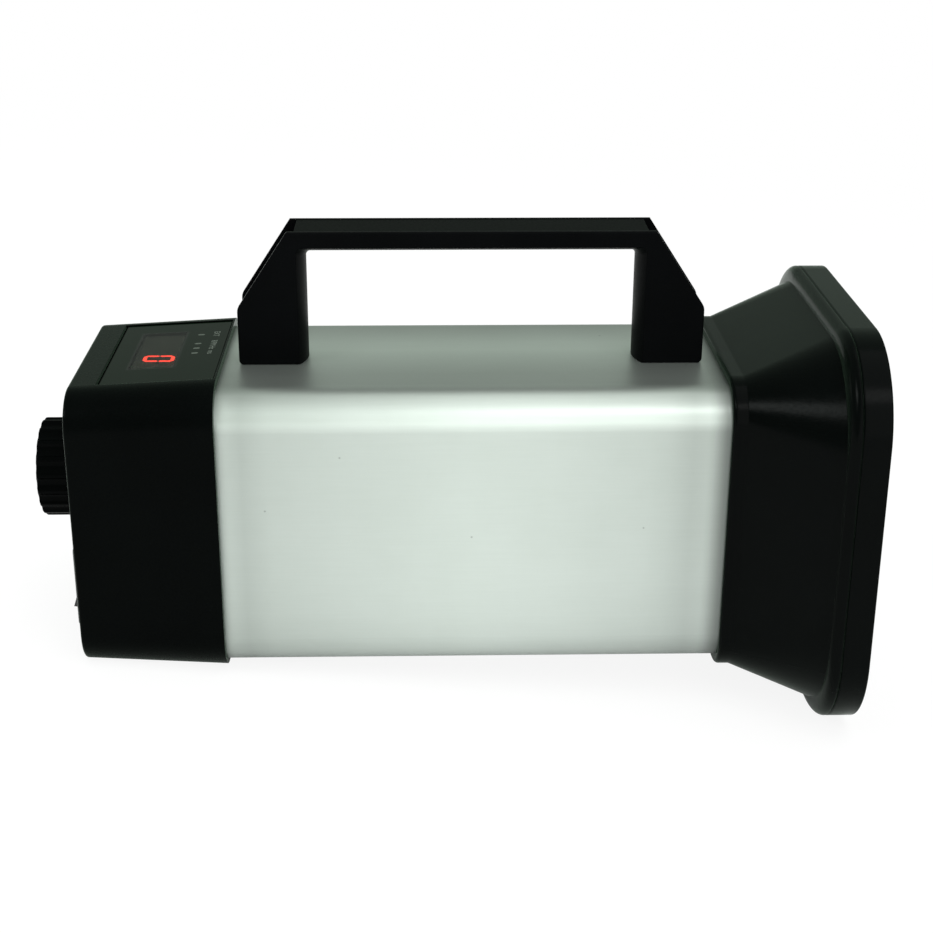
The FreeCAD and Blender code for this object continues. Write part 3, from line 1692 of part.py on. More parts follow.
def swept(outline, edges):
    """One closed outline carried along a path of lines and arcs."""
    return Part.Wire(edges).makePipeShell([outline], True, False)


def lamp_leads():
    """Three insulated wires, up from the board, round a bend and into the back of the socket."""
    solids = []
    end_x = bracket_back - socket_depth
    for y in (-lead_spread, 0, lead_spread):
        bend_x = end_x - lead_run
        foot = point(lead_foot_x(), y, board_top)
        rise = point(foot.x, y, hood_mid_height - lead_bend)
        turn = point(bend_x, y, hood_mid_height)
        share = math.cos(quarter_turn / 2)
        middle = point(bend_x - lead_bend * share, y, rise.z + lead_bend * share)
        outline = Part.Wire(Part.Circle(foot, along_z, lead_radius).toShape())
        edges = [
            Part.LineSegment(foot, rise).toShape(),
            Part.Arc(rise, middle, turn).toShape(),
            Part.LineSegment(turn, point(end_x, y, hood_mid_height)).toShape(),
        ]
        solids.append(swept(outline, edges))
    return Part.makeCompound(solids)


def ribbon_cable():
    """Flat cable from the control board, over a bend and down to the main board."""
    start = point(control_board_x + board_thickness, 0, ribbon_height)
    turn = point(ribbon_end_x - ribbon_bend, 0, ribbon_height)
    drop = point(ribbon_end_x, 0, ribbon_height - ribbon_bend)
    share = math.cos(quarter_turn / 2)
    middle = point(turn.x + ribbon_bend * share, 0, drop.z + ribbon_bend * share)
    half_y = ribbon_width / 2
    half_z = ribbon_thickness / 2
    corners = [
        start + point(0, -half_y, -half_z),
        start + point(0, half_y, -half_z),
        start + point(0, half_y, half_z),
        start + point(0, -half_y, half_z),
    ]
    outline = Part.makePolygon(corners + corners[:1])
    edges = [
        Part.LineSegment(start, turn).toShape(),
        Part.Arc(turn, middle, drop).toShape(),
        Part.LineSegment(drop, point(ribbon_end_x, 0, board_top)).toShape(),
    ]
    return swept(outline, edges)


def write_step(shape, name):
    shape.exportStep("parts/" + name + ".step")


def build():
    os.makedirs("parts", exist_ok=True)
    places = button_places()
    nodes = {
        "lamp_bracket": lamp_bracket(),
        "lamp_socket": lamp_socket(),
        "socket_screws": socket_screws(),
        "tripod_bush": tripod_bush(),
        "main_board": main_board(),
        "flash_capacitors": flash_capacitors(),
        "transformer_core": transformer_core(),
        "transformer_winding": transformer_winding(),
        "trigger_coil": trigger_coil(),
        "battery_packs": battery_packs(),
        "battery_pads": battery_pads(),
        "lamp_leads": lamp_leads(),
        "ribbon_cable": ribbon_cable(),
        "body_tube": body_tube(),
        "rear_cap": rear_cap(),
        "cap_screws": cap_screws(),
        "display_panel": display_panel(),
        "digit_display": digit_display(),
        "lit_segments": lit_segments(),
        "dark_segments": dark_segments(),
        "indicator_leds": indicator_leds(),
        "display_board": display_board(),
        "board_screws": board_screws(),
        "control_board": control_board(),
        "encoder_body": encoder_body(),
        "encoder_nut": encoder_nut(),
        "encoder_shaft": encoder_shaft(),
        "knob": knob(),
        "knob_cap": knob_cap(),
        "knob_grub_screw": knob_grub_screw(),
        "switch_bodies": switch_bodies(),
        "power_switch_body": power_switch_body(),
        "power_rocker": power_rocker(),
        "solder_terminals": solder_terminals(),
        "trigger_in_jack": trigger_jack(trigger_in_y),
        "trigger_out_jack": trigger_jack(trigger_out_y),
        "charge_socket": charge_socket(),
        "socket_nuts": socket_nuts(),
        "handle": handle(),
        "handle_cover": handle_cover(),
        "handle_screws": handle_screws(),
        "handle_washers": handle_washers(),
        "handle_nuts": handle_nuts(),
        "hood": hood(),
        "hood_screws": hood_screws(),
        "front_frame": front_frame(),
        "frame_screws": frame_screws(),
        "lens": lens(),
        "lens_gasket": lens_gasket(),
        "reflector": reflector(),
        "lamp_base": lamp_base(),
        "flash_tube": flash_tube(),
        "tube_electrodes": tube_electrodes(),
        "trigger_wire": trigger_wire(),
    }
    for name, y in places.items():
        nodes[name + "_button"] = button_cap(y)
        nodes[name + "_plunger"] = button_plunger(y)
    for name, shape in nodes.items():
        write_step(shape, name)
        print(name, len(shape.Solids), round(shape.Volume), shape.isValid())


build()
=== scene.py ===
import json
import math

import bmesh
import bpy
from mathutils import Matrix, Vector


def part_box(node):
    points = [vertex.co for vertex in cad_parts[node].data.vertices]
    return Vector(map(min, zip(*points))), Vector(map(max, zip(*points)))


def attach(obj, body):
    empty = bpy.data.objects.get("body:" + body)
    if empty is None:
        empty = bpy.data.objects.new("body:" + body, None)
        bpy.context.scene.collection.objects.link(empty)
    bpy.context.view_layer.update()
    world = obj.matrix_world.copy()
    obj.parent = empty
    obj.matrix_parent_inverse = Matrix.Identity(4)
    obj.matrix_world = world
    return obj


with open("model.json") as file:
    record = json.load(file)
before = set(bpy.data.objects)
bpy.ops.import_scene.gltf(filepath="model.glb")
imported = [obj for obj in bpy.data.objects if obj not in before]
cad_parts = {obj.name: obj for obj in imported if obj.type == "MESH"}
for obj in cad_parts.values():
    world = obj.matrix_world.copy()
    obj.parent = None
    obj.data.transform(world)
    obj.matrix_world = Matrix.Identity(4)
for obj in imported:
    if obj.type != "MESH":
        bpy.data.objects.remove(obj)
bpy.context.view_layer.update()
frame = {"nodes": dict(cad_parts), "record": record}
nodes = frame["nodes"]

# Sizes of the CAD part that the scene needs, in metres
rear_seam = -0.0631
front_seam = 0.0631
tube_half_width = 0.0332
tube_top = 0.0738
top_edge = 0.0724
cap_rear = -0.0995
ink_depth = 0.00004
pad_ink_depth = 0.00002

# The part stands on the cap's edge at the seam and on the hood's lower rim
floor_contact = Vector((rear_seam, 0.0, -0.0012))
floor_tilt = math.radians(5.13)
floor_gap = 0.0001


# Node helpers
def new_material(name):
    material = bpy.data.materials.new(name)
    material.use_nodes = True
    tree = material.node_tree
    return material, tree, tree.nodes["Principled BSDF"]


def add(tree, kind, **settings):
    node = tree.nodes.new(kind)
    for key, value in settings.items():
        setattr(node, key, value)
    return node


def place(tree, stretch=(1.0, 1.0, 1.0)):
    """The object's own coordinates in metres, stretched before a pattern reads them."""
    coordinates = add(tree, "ShaderNodeTexCoord")
    mapping = add(tree, "ShaderNodeMapping")
    mapping.inputs["Scale"].default_value = stretch
    tree.links.new(coordinates.outputs["Object"], mapping.inputs["Vector"])
    return mapping.outputs["Vector"]


def noise(tree, vector, scale, detail=2.0, roughness=0.5):
    node = add(tree, "ShaderNodeTexNoise")
    node.inputs["Scale"].default_value = scale
    node.inputs["Detail"].default_value = detail
    node.inputs["Roughness"].default_value = roughness
    tree.links.new(vector, node.inputs["Vector"])
    return node.outputs["Fac"]


def ramp(tree, factor, low, high, start=0.3, stop=0.7):
    """A ramp between two colours, or two greys, over part of the factor's range."""
    node = add(tree, "ShaderNodeValToRGB")
    points = node.color_ramp.elements
    points[0].position = start
    points[1].position = stop
    points[0].color = low if hasattr(low, "__len__") else (low, low, low, 1.0)
    points[1].color = high if hasattr(high, "__len__") else (high, high, high, 1.0)
    tree.links.new(factor, node.inputs["Fac"])
    return node.outputs["Color"]


def spread(tree, factor, low, high):
    """The factor's middle range mapped to low..high, for roughness and similar."""
    node = add(tree, "ShaderNodeMapRange")
    node.inputs["From Min"].default_value = 0.3
    node.inputs["From Max"].default_value = 0.7
    node.inputs["To Min"].default_value = low
    node.inputs["To Max"].default_value = high
    tree.links.new(factor, node.inputs["Value"])
    return node.outputs["Result"]


def product(tree, first, second):
    node = add(tree, "ShaderNodeMix", data_type="RGBA", blend_type="MULTIPLY")
    node.inputs["Factor"].default_value = 1.0
    tree.links.new(first, node.inputs["A"])
    tree.links.new(second, node.inputs["B"])
    return node.outputs["Result"]


def bump(tree, height, strength, distance, normal=None):
    node = add(tree, "ShaderNodeBump")
    node.inputs["Strength"].default_value = strength
    node.inputs["Distance"].default_value = distance
    tree.links.new(height, node.inputs["Height"])
    if normal is not None:
        tree.links.new(normal, node.inputs["Normal"])
    return node.outputs["Normal"]


def soft_edges(tree, radius):
    node = add(tree, "ShaderNodeBevel", samples=8)
    node.inputs["Radius"].default_value = radius
    return node.outputs["Normal"]


def shade(colour, share):
    return tuple(value * share for value in colour[:3]) + (1.0,)


def surface(name, colour, rough, metallic=0.0, grain=900.0, grain_depth=0.00002, vary=0.12,
            specular=0.5, stretch=(1.0, 1.0, 1.0), edge=0.0, coat=0.0, blotch=60.0):
    """A moulded, painted or metal surface: mottled colour, uneven roughness and a fine grain."""
    material, tree, shader = new_material(name)
    vector = place(tree, stretch)
    broad = noise(tree, vector, blotch, 3.0, 0.6)
    fine = noise(tree, vector, grain, 2.0, 0.55)
    tint = ramp(tree, broad, shade(colour, 1.0 - vary), shade(colour, 1.0 + vary))
    tree.links.new(tint, shader.inputs["Base Color"])
    uneven = spread(tree, fine, max(rough - 0.05, 0.02), rough + 0.05)
    tree.links.new(uneven, shader.inputs["Roughness"])
    under = soft_edges(tree, edge) if edge else None
    if grain_depth:
        tree.links.new(bump(tree, fine, 0.6, grain_depth, under), shader.inputs["Normal"])
    elif under is not None:
        tree.links.new(under, shader.inputs["Normal"])
    shader.inputs["Metallic"].default_value = metallic
    shader.inputs["Specular IOR Level"].default_value = specular
    shader.inputs["IOR"].default_value = 1.5
    shader.inputs["Coat Weight"].default_value = coat
    return material


def graded(tree, axis, low, high, stops):
    """Greys along one of the object's axes, from low to high in metres: a list of (place, grey)."""
    coordinates = add(tree, "ShaderNodeTexCoord")
    split = add(tree, "ShaderNodeSeparateXYZ")
    tree.links.new(coordinates.outputs["Object"], split.inputs["Vector"])
    scaled = add(tree, "ShaderNodeMapRange")
    scaled.inputs["From Min"].default_value = low
    scaled.inputs["From Max"].default_value = high
    tree.links.new(split.outputs[axis], scaled.inputs["Value"])
    node = add(tree, "ShaderNodeValToRGB")
    points = node.color_ramp.elements
    while len(points) < len(stops):
        points.new(0.5)
    for index, (spot, grey) in enumerate(stops):
        points[index].position = (spot - low) / (high - low)
        points[index].color = (grey, grey, grey, 1.0)
    tree.links.new(scaled.outputs["Result"], node.inputs["Fac"])
    return node.outputs["Color"]


def anodised(name):
    """Satin anodised tube: fine drawing lines, faint cloudiness and dark specks, with painted light
    and shade along it, up its sides and across its top.
    """
    material, tree, shader = new_material(name)
    lines = noise(tree, place(tree, (4.0, 1.0, 1.0)), 420.0, 4.0, 0.65)
    drawn = noise(tree, place(tree, (0.03, 1.0, 1.0)), 2400.0, 3.0, 0.6)
    cloud = noise(tree, place(tree), 22.0, 4.0, 0.6)
    tint = ramp(tree, cloud, (0.74, 0.805, 0.755, 1.0), (0.79, 0.855, 0.81, 1.0))
    streak = ramp(tree, drawn, 0.975, 1.0)
    specks = add(tree, "ShaderNodeTexVoronoi")
    specks.inputs["Scale"].default_value = 95.0
    tree.links.new(place(tree), specks.inputs["Vector"])
    dots = ramp(tree, specks.outputs["Distance"], 0.66, 1.0, 0.018, 0.032)
    # Painted light and shade: darker towards both ends, where the hood and the cap shade the tube,
    # and uneven along the sides, up them and across the top
    ends = graded(tree, "X", rear_seam, front_seam, (
        (rear_seam, 0.60), (-0.0623, 0.78), (-0.0613, 0.88), (-0.0570, 0.94), (-0.0510, 1.0),
        (0.0480, 1.0), (0.0575, 0.90), (0.0590, 0.78), (0.0605, 0.56), (0.0620, 0.36)))
    # Painted reflection and shade across the top, where the handle is mirrored in it
    painted_top_reflection = graded(tree, "Y", -tube_half_width, tube_half_width, (
        (-0.0290, 0.66), (-0.0230, 0.55), (-0.0150, 0.59), (-0.0080, 0.69), (0.0040, 0.87),
        (0.0100, 0.82), (0.0245, 0.54)))
    # Painted light along the near side: brighter at its middle, darker towards its ends
    side = graded(tree, "X", rear_seam, front_seam, (
        (-0.0605, 0.83), (-0.0570, 0.71), (-0.0500, 0.76), (-0.0120, 0.89), (0.0, 0.91),
        (0.0190, 0.88), (0.0430, 0.79), (0.0540, 0.70), (0.0582, 0.77)))
    # Painted shade low on the side and a painted highlight band along the top corner
    height = graded(tree, "Z", 0.0, tube_top, (
        (0.0, 0.60), (0.0045, 0.67), (0.0150, 0.75), (0.0260, 0.77), (0.0645, 0.76),
        (0.0670, 1.0), (0.0710, 0.82), (top_edge, 0.74)))
    top_only = graded(tree, "Z", 0.0, tube_top, ((top_edge, 0.0), (0.0736, 1.0)))
    # The painted light on the sides and the painted reflection on the top are joined, then the
    # painted end shade is laid over them
    shaded = add(tree, "ShaderNodeMix", data_type="RGBA")
    tree.links.new(top_only, shaded.inputs["Factor"])
    tree.links.new(product(tree, side, height), shaded.inputs["A"])
    tree.links.new(painted_top_reflection, shaded.inputs["B"])
    painted_light_and_shade = product(tree, ends, shaded.outputs["Result"])
    colour = product(tree, product(tree, tint, streak), product(tree, dots, painted_light_and_shade))
    tree.links.new(colour, shader.inputs["Base Color"])
    tree.links.new(spread(tree, lines, 0.38, 0.42), shader.inputs["Roughness"])
    tree.links.new(bump(tree, drawn, 0.12, 0.00001), shader.inputs["Normal"])
    shader.inputs["Metallic"].default_value = 0.92
    shader.inputs["Specular IOR Level"].default_value = 0.5
    return material


def smoked(name):
    """The display panel: black behind, with a clear smoked window over the digits."""
    material, tree, shader = new_material(name)
    coordinates = add(tree, "ShaderNodeTexCoord")
    split = add(tree, "ShaderNodeSeparateXYZ")
    tree.links.new(coordinates.outputs["Object"], split.inputs["Vector"])
    blur = 0.0004
    gloss = 0.036
    inside = None
    for axis, middle, half in (("X", -0.0807, 0.0060), ("Y", 0.0018, 0.0148)):
        centred = add(tree, "ShaderNodeMath", operation="SUBTRACT")
        centred.inputs[1].default_value = middle
        tree.links.new(split.outputs[axis], centred.inputs[0])
        size = add(tree, "ShaderNodeMath", operation="ABSOLUTE")
        tree.links.new(centred.outputs[0], size.inputs[0])
        within = add(tree, "ShaderNodeMapRange")
        within.inputs["From Min"].default_value = half + blur
        within.inputs["From Max"].default_value = half - blur
        tree.links.new(size.outputs[0], within.inputs["Value"])
        if inside is None:
            inside = within.outputs[0]
        else:
            both = add(tree, "ShaderNodeMath", operation="MULTIPLY")
            tree.links.new(inside, both.inputs[0])
            tree.links.new(within.outputs[0], both.inputs[1])
            inside = both.outputs[0]
    haze = noise(tree, place(tree), 160.0, 3.0, 0.6)
    backing = (0.0010, 0.0042, 0.0016, 1.0)
    window = (0.35, 0.37, 0.31, 1.0)
    tint = ramp(tree, inside, backing, window, 0.97, 1.0)
    # Painted shade: a black line without gloss along the rear edge, where the panel meets the cap's
    # lip
    edge = graded(tree, "X", -0.0925, -0.0635, ((-0.0919, 0.0), (-0.0916, 1.0)))
    tree.links.new(product(tree, tint, edge), shader.inputs["Base Color"])
    tree.links.new(inside, shader.inputs["Transmission Weight"])
    shine = add(tree, "ShaderNodeMath", operation="MULTIPLY")
    shine.inputs[1].default_value = gloss
    tree.links.new(edge, shine.inputs[0])
    tree.links.new(shine.outputs[0], shader.inputs["Specular IOR Level"])
    shader.inputs["Specular IOR Level"].default_value = gloss
    shader.inputs["IOR"].default_value = 1.5
    index = add(tree, "ShaderNodeMapRange")
    index.inputs["To Min"].default_value = 1.5
    index.inputs["To Max"].default_value = 1.12
    tree.links.new(inside, index.inputs["Value"])
    tree.links.new(index.outputs["Result"], shader.inputs["IOR"])
    tree.links.new(spread(tree, haze, 0.10, 0.14), shader.inputs["Roughness"])
    tree.links.new(bump(tree, haze, 0.1, 0.00001), shader.inputs["Normal"])
    return material


def glowing(name, colour, strength):
    """A lit segment, slightly uneven."""
    material, tree, shader = new_material(name)
    uneven = noise(tree, place(tree), 700.0, 2.0, 0.5)
    tint = ramp(tree, uneven, shade(colour, 0.8), colour)
    tree.links.new(tint, shader.inputs["Base Color"])
    tree.links.new(tint, shader.inputs["Emission Color"])
    shader.inputs["Emission Strength"].default_value = strength
    shader.inputs["Roughness"].default_value = 0.4
    return material


def black_plastic(name, colour, specular, rough, edge=0.0003, depth=0.000015, sheen=0.0):
    """Moulded ABS with a spark-eroded texture and a faint dusty sheen."""
    material, tree, shader = new_material(name)
    vector = place(tree)
    broad = noise(tree, vector, 35.0, 3.0, 0.6)
    fine = noise(tree, vector, 1500.0, 3.0, 0.65)
    pits = add(tree, "ShaderNodeTexVoronoi")
    pits.inputs["Scale"].default_value = 1200.0
    tree.links.new(vector, pits.inputs["Vector"])
    tint = ramp(tree, broad, shade(colour, 0.8), shade(colour, 1.25))
    tree.links.new(tint, shader.inputs["Base Color"])
    tree.links.new(spread(tree, fine, rough - 0.05, rough + 0.06), shader.inputs["Roughness"])
    under = soft_edges(tree, edge)
    rough_skin = bump(tree, fine, 0.5, depth, under)
    pitted = bump(tree, pits.outputs["Distance"], 0.35, depth, rough_skin)
    tree.links.new(pitted, shader.inputs["Normal"])
    shader.inputs["Specular IOR Level"].default_value = specular
    shader.inputs["Sheen Weight"].default_value = sheen
    shader.inputs["Sheen Roughness"].default_value = 0.35
    shader.inputs["Sheen Tint"].default_value = (0.62, 1.0, 0.69, 1.0)
    return material


def polished_dish(name):
    """Spun and polished reflector with faint rings."""
    material, tree, shader = new_material(name)
    coordinates = add(tree, "ShaderNodeTexCoord")
    rings = add(tree, "ShaderNodeTexWave", wave_type="BANDS", bands_direction="X")
    rings.inputs["Scale"].default_value = 900.0
    rings.inputs["Distortion"].default_value = 1.5
    rings.inputs["Detail"].default_value = 2.0
    tree.links.new(coordinates.outputs["Object"], rings.inputs["Vector"])
    haze = noise(tree, place(tree), 60.0, 3.0, 0.6)
    # The flange at the front is turned, not polished
    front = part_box("reflector")[1].x
    turned = ((front - 0.0022, 1.0), (front - 0.0016, 0.30))
    flange = graded(tree, "X", front - 0.004, front, turned)
    tint = ramp(tree, haze, (0.80, 0.81, 0.82, 1.0), (0.88, 0.89, 0.90, 1.0))
    tree.links.new(product(tree, tint, flange), shader.inputs["Base Color"])
    tree.links.new(spread(tree, haze, 0.08, 0.16), shader.inputs["Roughness"])
    tree.links.new(bump(tree, rings.outputs["Fac"], 0.2, 0.00002), shader.inputs["Normal"])
    shader.inputs["Metallic"].default_value = 1.0
    return material


def clear(name, colour, rough, ior=1.47):
    material, tree, shader = new_material(name)
    haze = noise(tree, place(tree), 45.0, 3.0, 0.6)
    tree.links.new(ramp(tree, haze, shade(colour, 0.985), colour), shader.inputs["Base Color"])
    tree.links.new(spread(tree, haze, rough, rough + 0.015), shader.inputs["Roughness"])
    tree.links.new(bump(tree, haze, 0.05, 0.00001), shader.inputs["Normal"])
    shader.inputs["Transmission Weight"].default_value = 1.0
    shader.inputs["IOR"].default_value = ior
    return material


# One finish for each of the record's material slots
black = (0.0007, 0.0010, 0.0010, 1.0)
finishes = {
    "anodised_tube": anodised("anodised_tube_finish"),
    "cap_black": black_plastic("cap_black_finish", black, 0.020, 0.28, sheen=0.076),
    "hood_black": black_plastic("hood_black_finish", black, 0.031, 0.20, sheen=0.076),
    "handle_black": black_plastic("handle_black_finish", (0.0017, 0.0019, 0.0021, 1.0), 0.010, 0.36,
                                  0.0004, sheen=0.004),
    "cover_black": black_plastic("cover_black_finish", (0.0008, 0.0012, 0.0011, 1.0), 0.006, 0.34,
                                 0.0002, sheen=0.005),
    "knob_black": black_plastic("knob_black_finish", black, 0.02, 0.24, depth=0.00001),
    "knob_disc": surface("knob_disc_finish", (0.42, 0.43, 0.43), 0.3, 1.0, 2600.0, 0.00001, 0.06,
                         stretch=(1.0, 1.0, 0.04), edge=0.0002),
    "smoked_panel": smoked("smoked_panel_finish"),
    "module_black": surface("module_black_finish", (0.012, 0.013, 0.012), 0.5, grain=1800.0,
                            specular=0.2),
    "lit_red": glowing("lit_red_finish", (1.0, 0.045, 0.03, 1.0), 6.0),
    "unlit_grey": surface("unlit_grey_finish", (0.016, 0.014, 0.013), 0.45, grain=1800.0,
                          specular=0.2),
    "led_green": surface("led_green_finish", (0.050, 0.060, 0.050), 0.4, grain=1800.0,
                         specular=0.2),
    "board_green": surface("board_green_finish", (0.010, 0.085, 0.035), 0.35, grain=700.0,
                           blotch=220.0, vary=0.3),
    "zinc_steel": surface("zinc_steel_finish", (0.56, 0.57, 0.58), 0.32, 1.0, 1400.0, 0.00001,
                          0.08),
    "black_steel": surface("black_steel_finish", (0.02, 0.02, 0.021), 0.35, 0.7, 1400.0, 0.00001,
                           0.1),
    "nickel": surface("nickel_finish", (0.62, 0.61, 0.58), 0.2, 1.0, 1400.0, 0.000005, 0.05,
                      edge=0.0002),
    "shaft_metal": surface("shaft_metal_finish", (0.6, 0.61, 0.61), 0.28, 1.0, 2200.0, 0.00001,
                           0.06, stretch=(1.0, 0.1, 0.1)),
    "part_black": surface("part_black_finish", (0.012, 0.012, 0.0125), 0.4, grain=1200.0,
                          edge=0.0002),
    "rocker_black": surface("rocker_black_finish", (0.010, 0.010, 0.0105), 0.22, grain=1500.0,
                            grain_depth=0.000005, edge=0.0002),
    "tinned_brass": surface("tinned_brass_finish", (0.70, 0.62, 0.42), 0.3, 1.0, 900.0, 0.00001),
    "button_grey": surface("button_grey_finish", (0.085, 0.09, 0.09), 0.55, grain=1500.0,
                           edge=0.0002),
    "plunger_white": surface("plunger_white_finish", (0.70, 0.69, 0.65), 0.45, grain=900.0),
    "lens_clear": clear("lens_clear_finish", (0.97, 0.985, 0.985, 1.0), 0.0),
    "gasket_black": surface("gasket_black_finish", (0.012, 0.012, 0.012), 0.6, grain=900.0),
    "bright_dish": polished_dish("bright_dish_finish"),
    "ceramic": surface("ceramic_finish", (0.80, 0.78, 0.72), 0.35, grain=500.0, vary=0.04),
    "lamp_glass": clear("lamp_glass_finish", (0.96, 0.98, 1.0, 1.0), 0.0, 1.46),
    "electrode_metal": surface("electrode_metal_finish", (0.45, 0.45, 0.46), 0.3, 1.0, 1800.0,
                               0.00001),
    "wire_nickel": surface("wire_nickel_finish", (0.6, 0.59, 0.56), 0.25, 1.0, 1800.0, 0.000005),
    "bush_brass": surface("bush_brass_finish", (0.66, 0.50, 0.24), 0.28, 1.0, 1600.0, 0.00001,
                          0.08, edge=0.0002),
    "can_sleeve": surface("can_sleeve_finish", (0.02, 0.03, 0.09), 0.3, grain=700.0, coat=0.3),
    "ferrite": surface("ferrite_finish", (0.045, 0.045, 0.048), 0.6, grain=600.0),
    "winding_tape": surface("winding_tape_finish", (0.62, 0.45, 0.08), 0.4, grain=500.0,
                            stretch=(1.0, 1.0, 6.0)),
    "coil_resin": surface("coil_resin_finish", (0.03, 0.03, 0.035), 0.35, grain=500.0),
    "cell_sleeve": surface("cell_sleeve_finish", (0.03, 0.12, 0.10), 0.3, grain=400.0, coat=0.3),
    "foam_grey": surface("foam_grey_finish", (0.16, 0.16, 0.17), 0.9, grain=1100.0,
                         grain_depth=0.0001),
    "lead_red": surface("lead_red_finish", (0.50, 0.025, 0.02), 0.4, grain=700.0),
    "ribbon_grey": surface("ribbon_grey_finish", (0.36, 0.36, 0.37), 0.5, grain=900.0,
                           stretch=(0.05, 3.0, 0.05)),
}
slot_of = {entry["node"]: entry["material_slot"] for entry in frame["record"]["subparts"]}
for name, node in nodes.items():
    finish = finishes[slot_of[name]]
    if not node.material_slots:
        node.data.materials.append(finish)
    for material_slot in node.material_slots:
        material_slot.material = finish


# Printed marks, all generic: units, arithmetic signs, switch states, socket directions
def printed(name, colour):
    return surface(name, colour, 0.45, grain=2200.0, grain_depth=0.000004)


ink = printed("printed_ink", (0.42, 0.45, 0.42))
faint_ink = printed("printed_ink_faint", (0.085, 0.10, 0.085))
pale_ink = printed("printed_ink_pale", (0.62, 0.64, 0.62))


def mark(name, words, size, centre, right, up, body, finish=ink, depth=ink_depth):
    """Flat lettering on a surface: centre, reading and up direction, in the part's frame."""
    curve = bpy.data.curves.new(name, "FONT")
    curve.body = words
    curve.size = size
    curve.align_x = "CENTER"
    curve.align_y = "CENTER"
    curve.extrude = depth / 2
    curve.materials.append(finish)
    piece = bpy.data.objects.new(name, curve)
    bpy.context.scene.collection.objects.link(piece)
    along = Vector(right).normalized()
    upward = Vector(up).normalized()
    out = along.cross(upward)
    turn = Matrix((along, upward, out)).transposed().to_4x4()
    piece.matrix_world = Matrix.Translation(Vector(centre) + out * (depth / 2)) @ turn
    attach(piece, body)
    return piece


panel_mesh = nodes["display_panel"].data
panel_low, panel_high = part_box("display_panel")
slope_start = max(v.co.z for v in panel_mesh.vertices if v.co.x < panel_low.x + 0.001)
panel_rise = (panel_high.z - slope_start) / (panel_high.x - panel_low.x)


def panel_top(x):
    return slope_start + (x - panel_low.x) * panel_rise


panel_up = Vector((1.0, 0.0, panel_rise)).normalized()


def light_window(name, centre, length, width):
    """A pale diffusing bar in the panel's face over one indicator, with round ends."""
    shape = bmesh.new()
    rim = []
    radius = width / 2
    for side in (1, -1):
        for step in range(9):
            angle = side * math.pi / 2 - math.pi * step / 8
            x = centre[0] + side * (length / 2 - radius) + radius * math.cos(angle)
            y = centre[1] + radius * math.sin(angle)
            rim.append((x, y))
    lower = [shape.verts.new((x, y, panel_top(x))) for x, y in rim]
    upper = [shape.verts.new((centre[0] + (x - centre[0]) * 0.94,
                              centre[1] + (y - centre[1]) * 0.88,
                              panel_top(x) + ink_depth)) for x, y in rim]
    count = len(rim)
    for index in range(count):
        following = (index + 1) % count
        shape.faces.new((lower[index], lower[following], upper[following], upper[index]))
    shape.faces.new(upper)
    shape.faces.new(list(reversed(lower)))
    bmesh.ops.recalc_face_normals(shape, faces=shape.faces)
    mesh = bpy.data.meshes.new(name)
    shape.to_mesh(mesh)
    shape.free()
    mesh.materials.append(finishes["led_green"])
    piece = bpy.data.objects.new(name, mesh)
    bpy.context.scene.collection.objects.link(piece)
    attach(piece, "housing")
    return piece


led_low, led_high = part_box("indicator_leds")
label_x = led_high.x + 0.0028
light_x = (led_low.x + led_high.x) / 2
labels = ((0.0132, "EXT"), (0.0056, "RPM"), (0.00175, "Hz"), (-0.00225, "ms"))
for index, (y, words) in enumerate(labels):
    centre = (label_x, y, panel_top(label_x))
    mark("panel_mark_%d" % index, words, 0.0023, centre, (0, -1, 0), panel_up,
         "housing", faint_ink)
    light_window("indicator_window_%d" % index, (light_x, y), 0.0018, 0.0010)

for name, words, size in (("double", "×2", 0.0042), ("halve", "÷2", 0.0042),
                          ("source", "EXT", 0.0034)):
    low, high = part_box(name + "_button")
    centre = (low.x + pad_ink_depth, (low.y + high.y) / 2, (low.z + high.z) / 2)
    mark(name + "_mark", words, size, centre, (0, -1, 0), (0, 0, 1),
         name + "_key", pale_ink, pad_ink_depth)

for name, words, y in (("trigger_in_mark", "IN", -0.0035), ("trigger_out_mark", "OUT", 0.0085),
                       ("charge_mark", "DC", 0.0205)):
    mark(name, words, 0.0030, (cap_rear, y, 0.0245), (0, -1, 0), (0, 0, 1), "housing")

rocker_mesh = nodes["power_rocker"].data
rocker_low, rocker_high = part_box("power_rocker")
rocker_middle = (rocker_low.z + rocker_high.z) / 2
for name, words, side in (("switch_on_mark", "I", 1), ("switch_off_mark", "O", -1)):
    area = 0.0
    centre = Vector()
    facing = Vector()
    for polygon in rocker_mesh.polygons:
        if polygon.normal.x < -0.9 and (polygon.center.z - rocker_middle) * side > 0:
            area += polygon.area
            centre += polygon.center * polygon.area
            facing += polygon.normal * polygon.area
    centre /= area
    facing.normalize()
    rightward = Vector((0.0, -1.0, 0.0))
    mark(name, words, 0.0030, centre + facing * pad_ink_depth, rightward, facing.cross(rightward),
         "rocker", pale_ink, pad_ink_depth)

# The scene round the object: floor, lights, camera
floor_mesh = bpy.data.meshes.new("floor")
shape = bmesh.new()
floor_size = 12.0
bmesh.ops.create_grid(shape, x_segments=8, y_segments=8, size=floor_size)
shape.to_mesh(floor_mesh)
shape.free()
floor = bpy.data.objects.new("floor", floor_mesh)
bpy.context.scene.collection.objects.link(floor)
normal = Vector((math.sin(floor_tilt), 0.0, math.cos(floor_tilt)))
floor.rotation_euler = (0.0, floor_tilt, 0.0)
floor.location = floor_contact - normal * floor_gap

paper = bpy.data.materials.new("paper")
paper.use_nodes = True
tree = paper.node_tree
tree.nodes.clear()
out = add(tree, "ShaderNodeOutputMaterial")
blend = add(tree, "ShaderNodeMixShader")
white = add(tree, "ShaderNodeEmission")
white.inputs["Color"].default_value = (1.0, 1.0, 1.0, 1.0)
white.inputs["Strength"].default_value = 1.0
lit = add(tree, "ShaderNodeBsdfDiffuse")
fibre = noise(tree, place(tree), 300.0, 2.0, 0.5)
tree.links.new(ramp(tree, fibre, 0.84, 0.86), lit.inputs["Color"])
path = add(tree, "ShaderNodeLightPath")
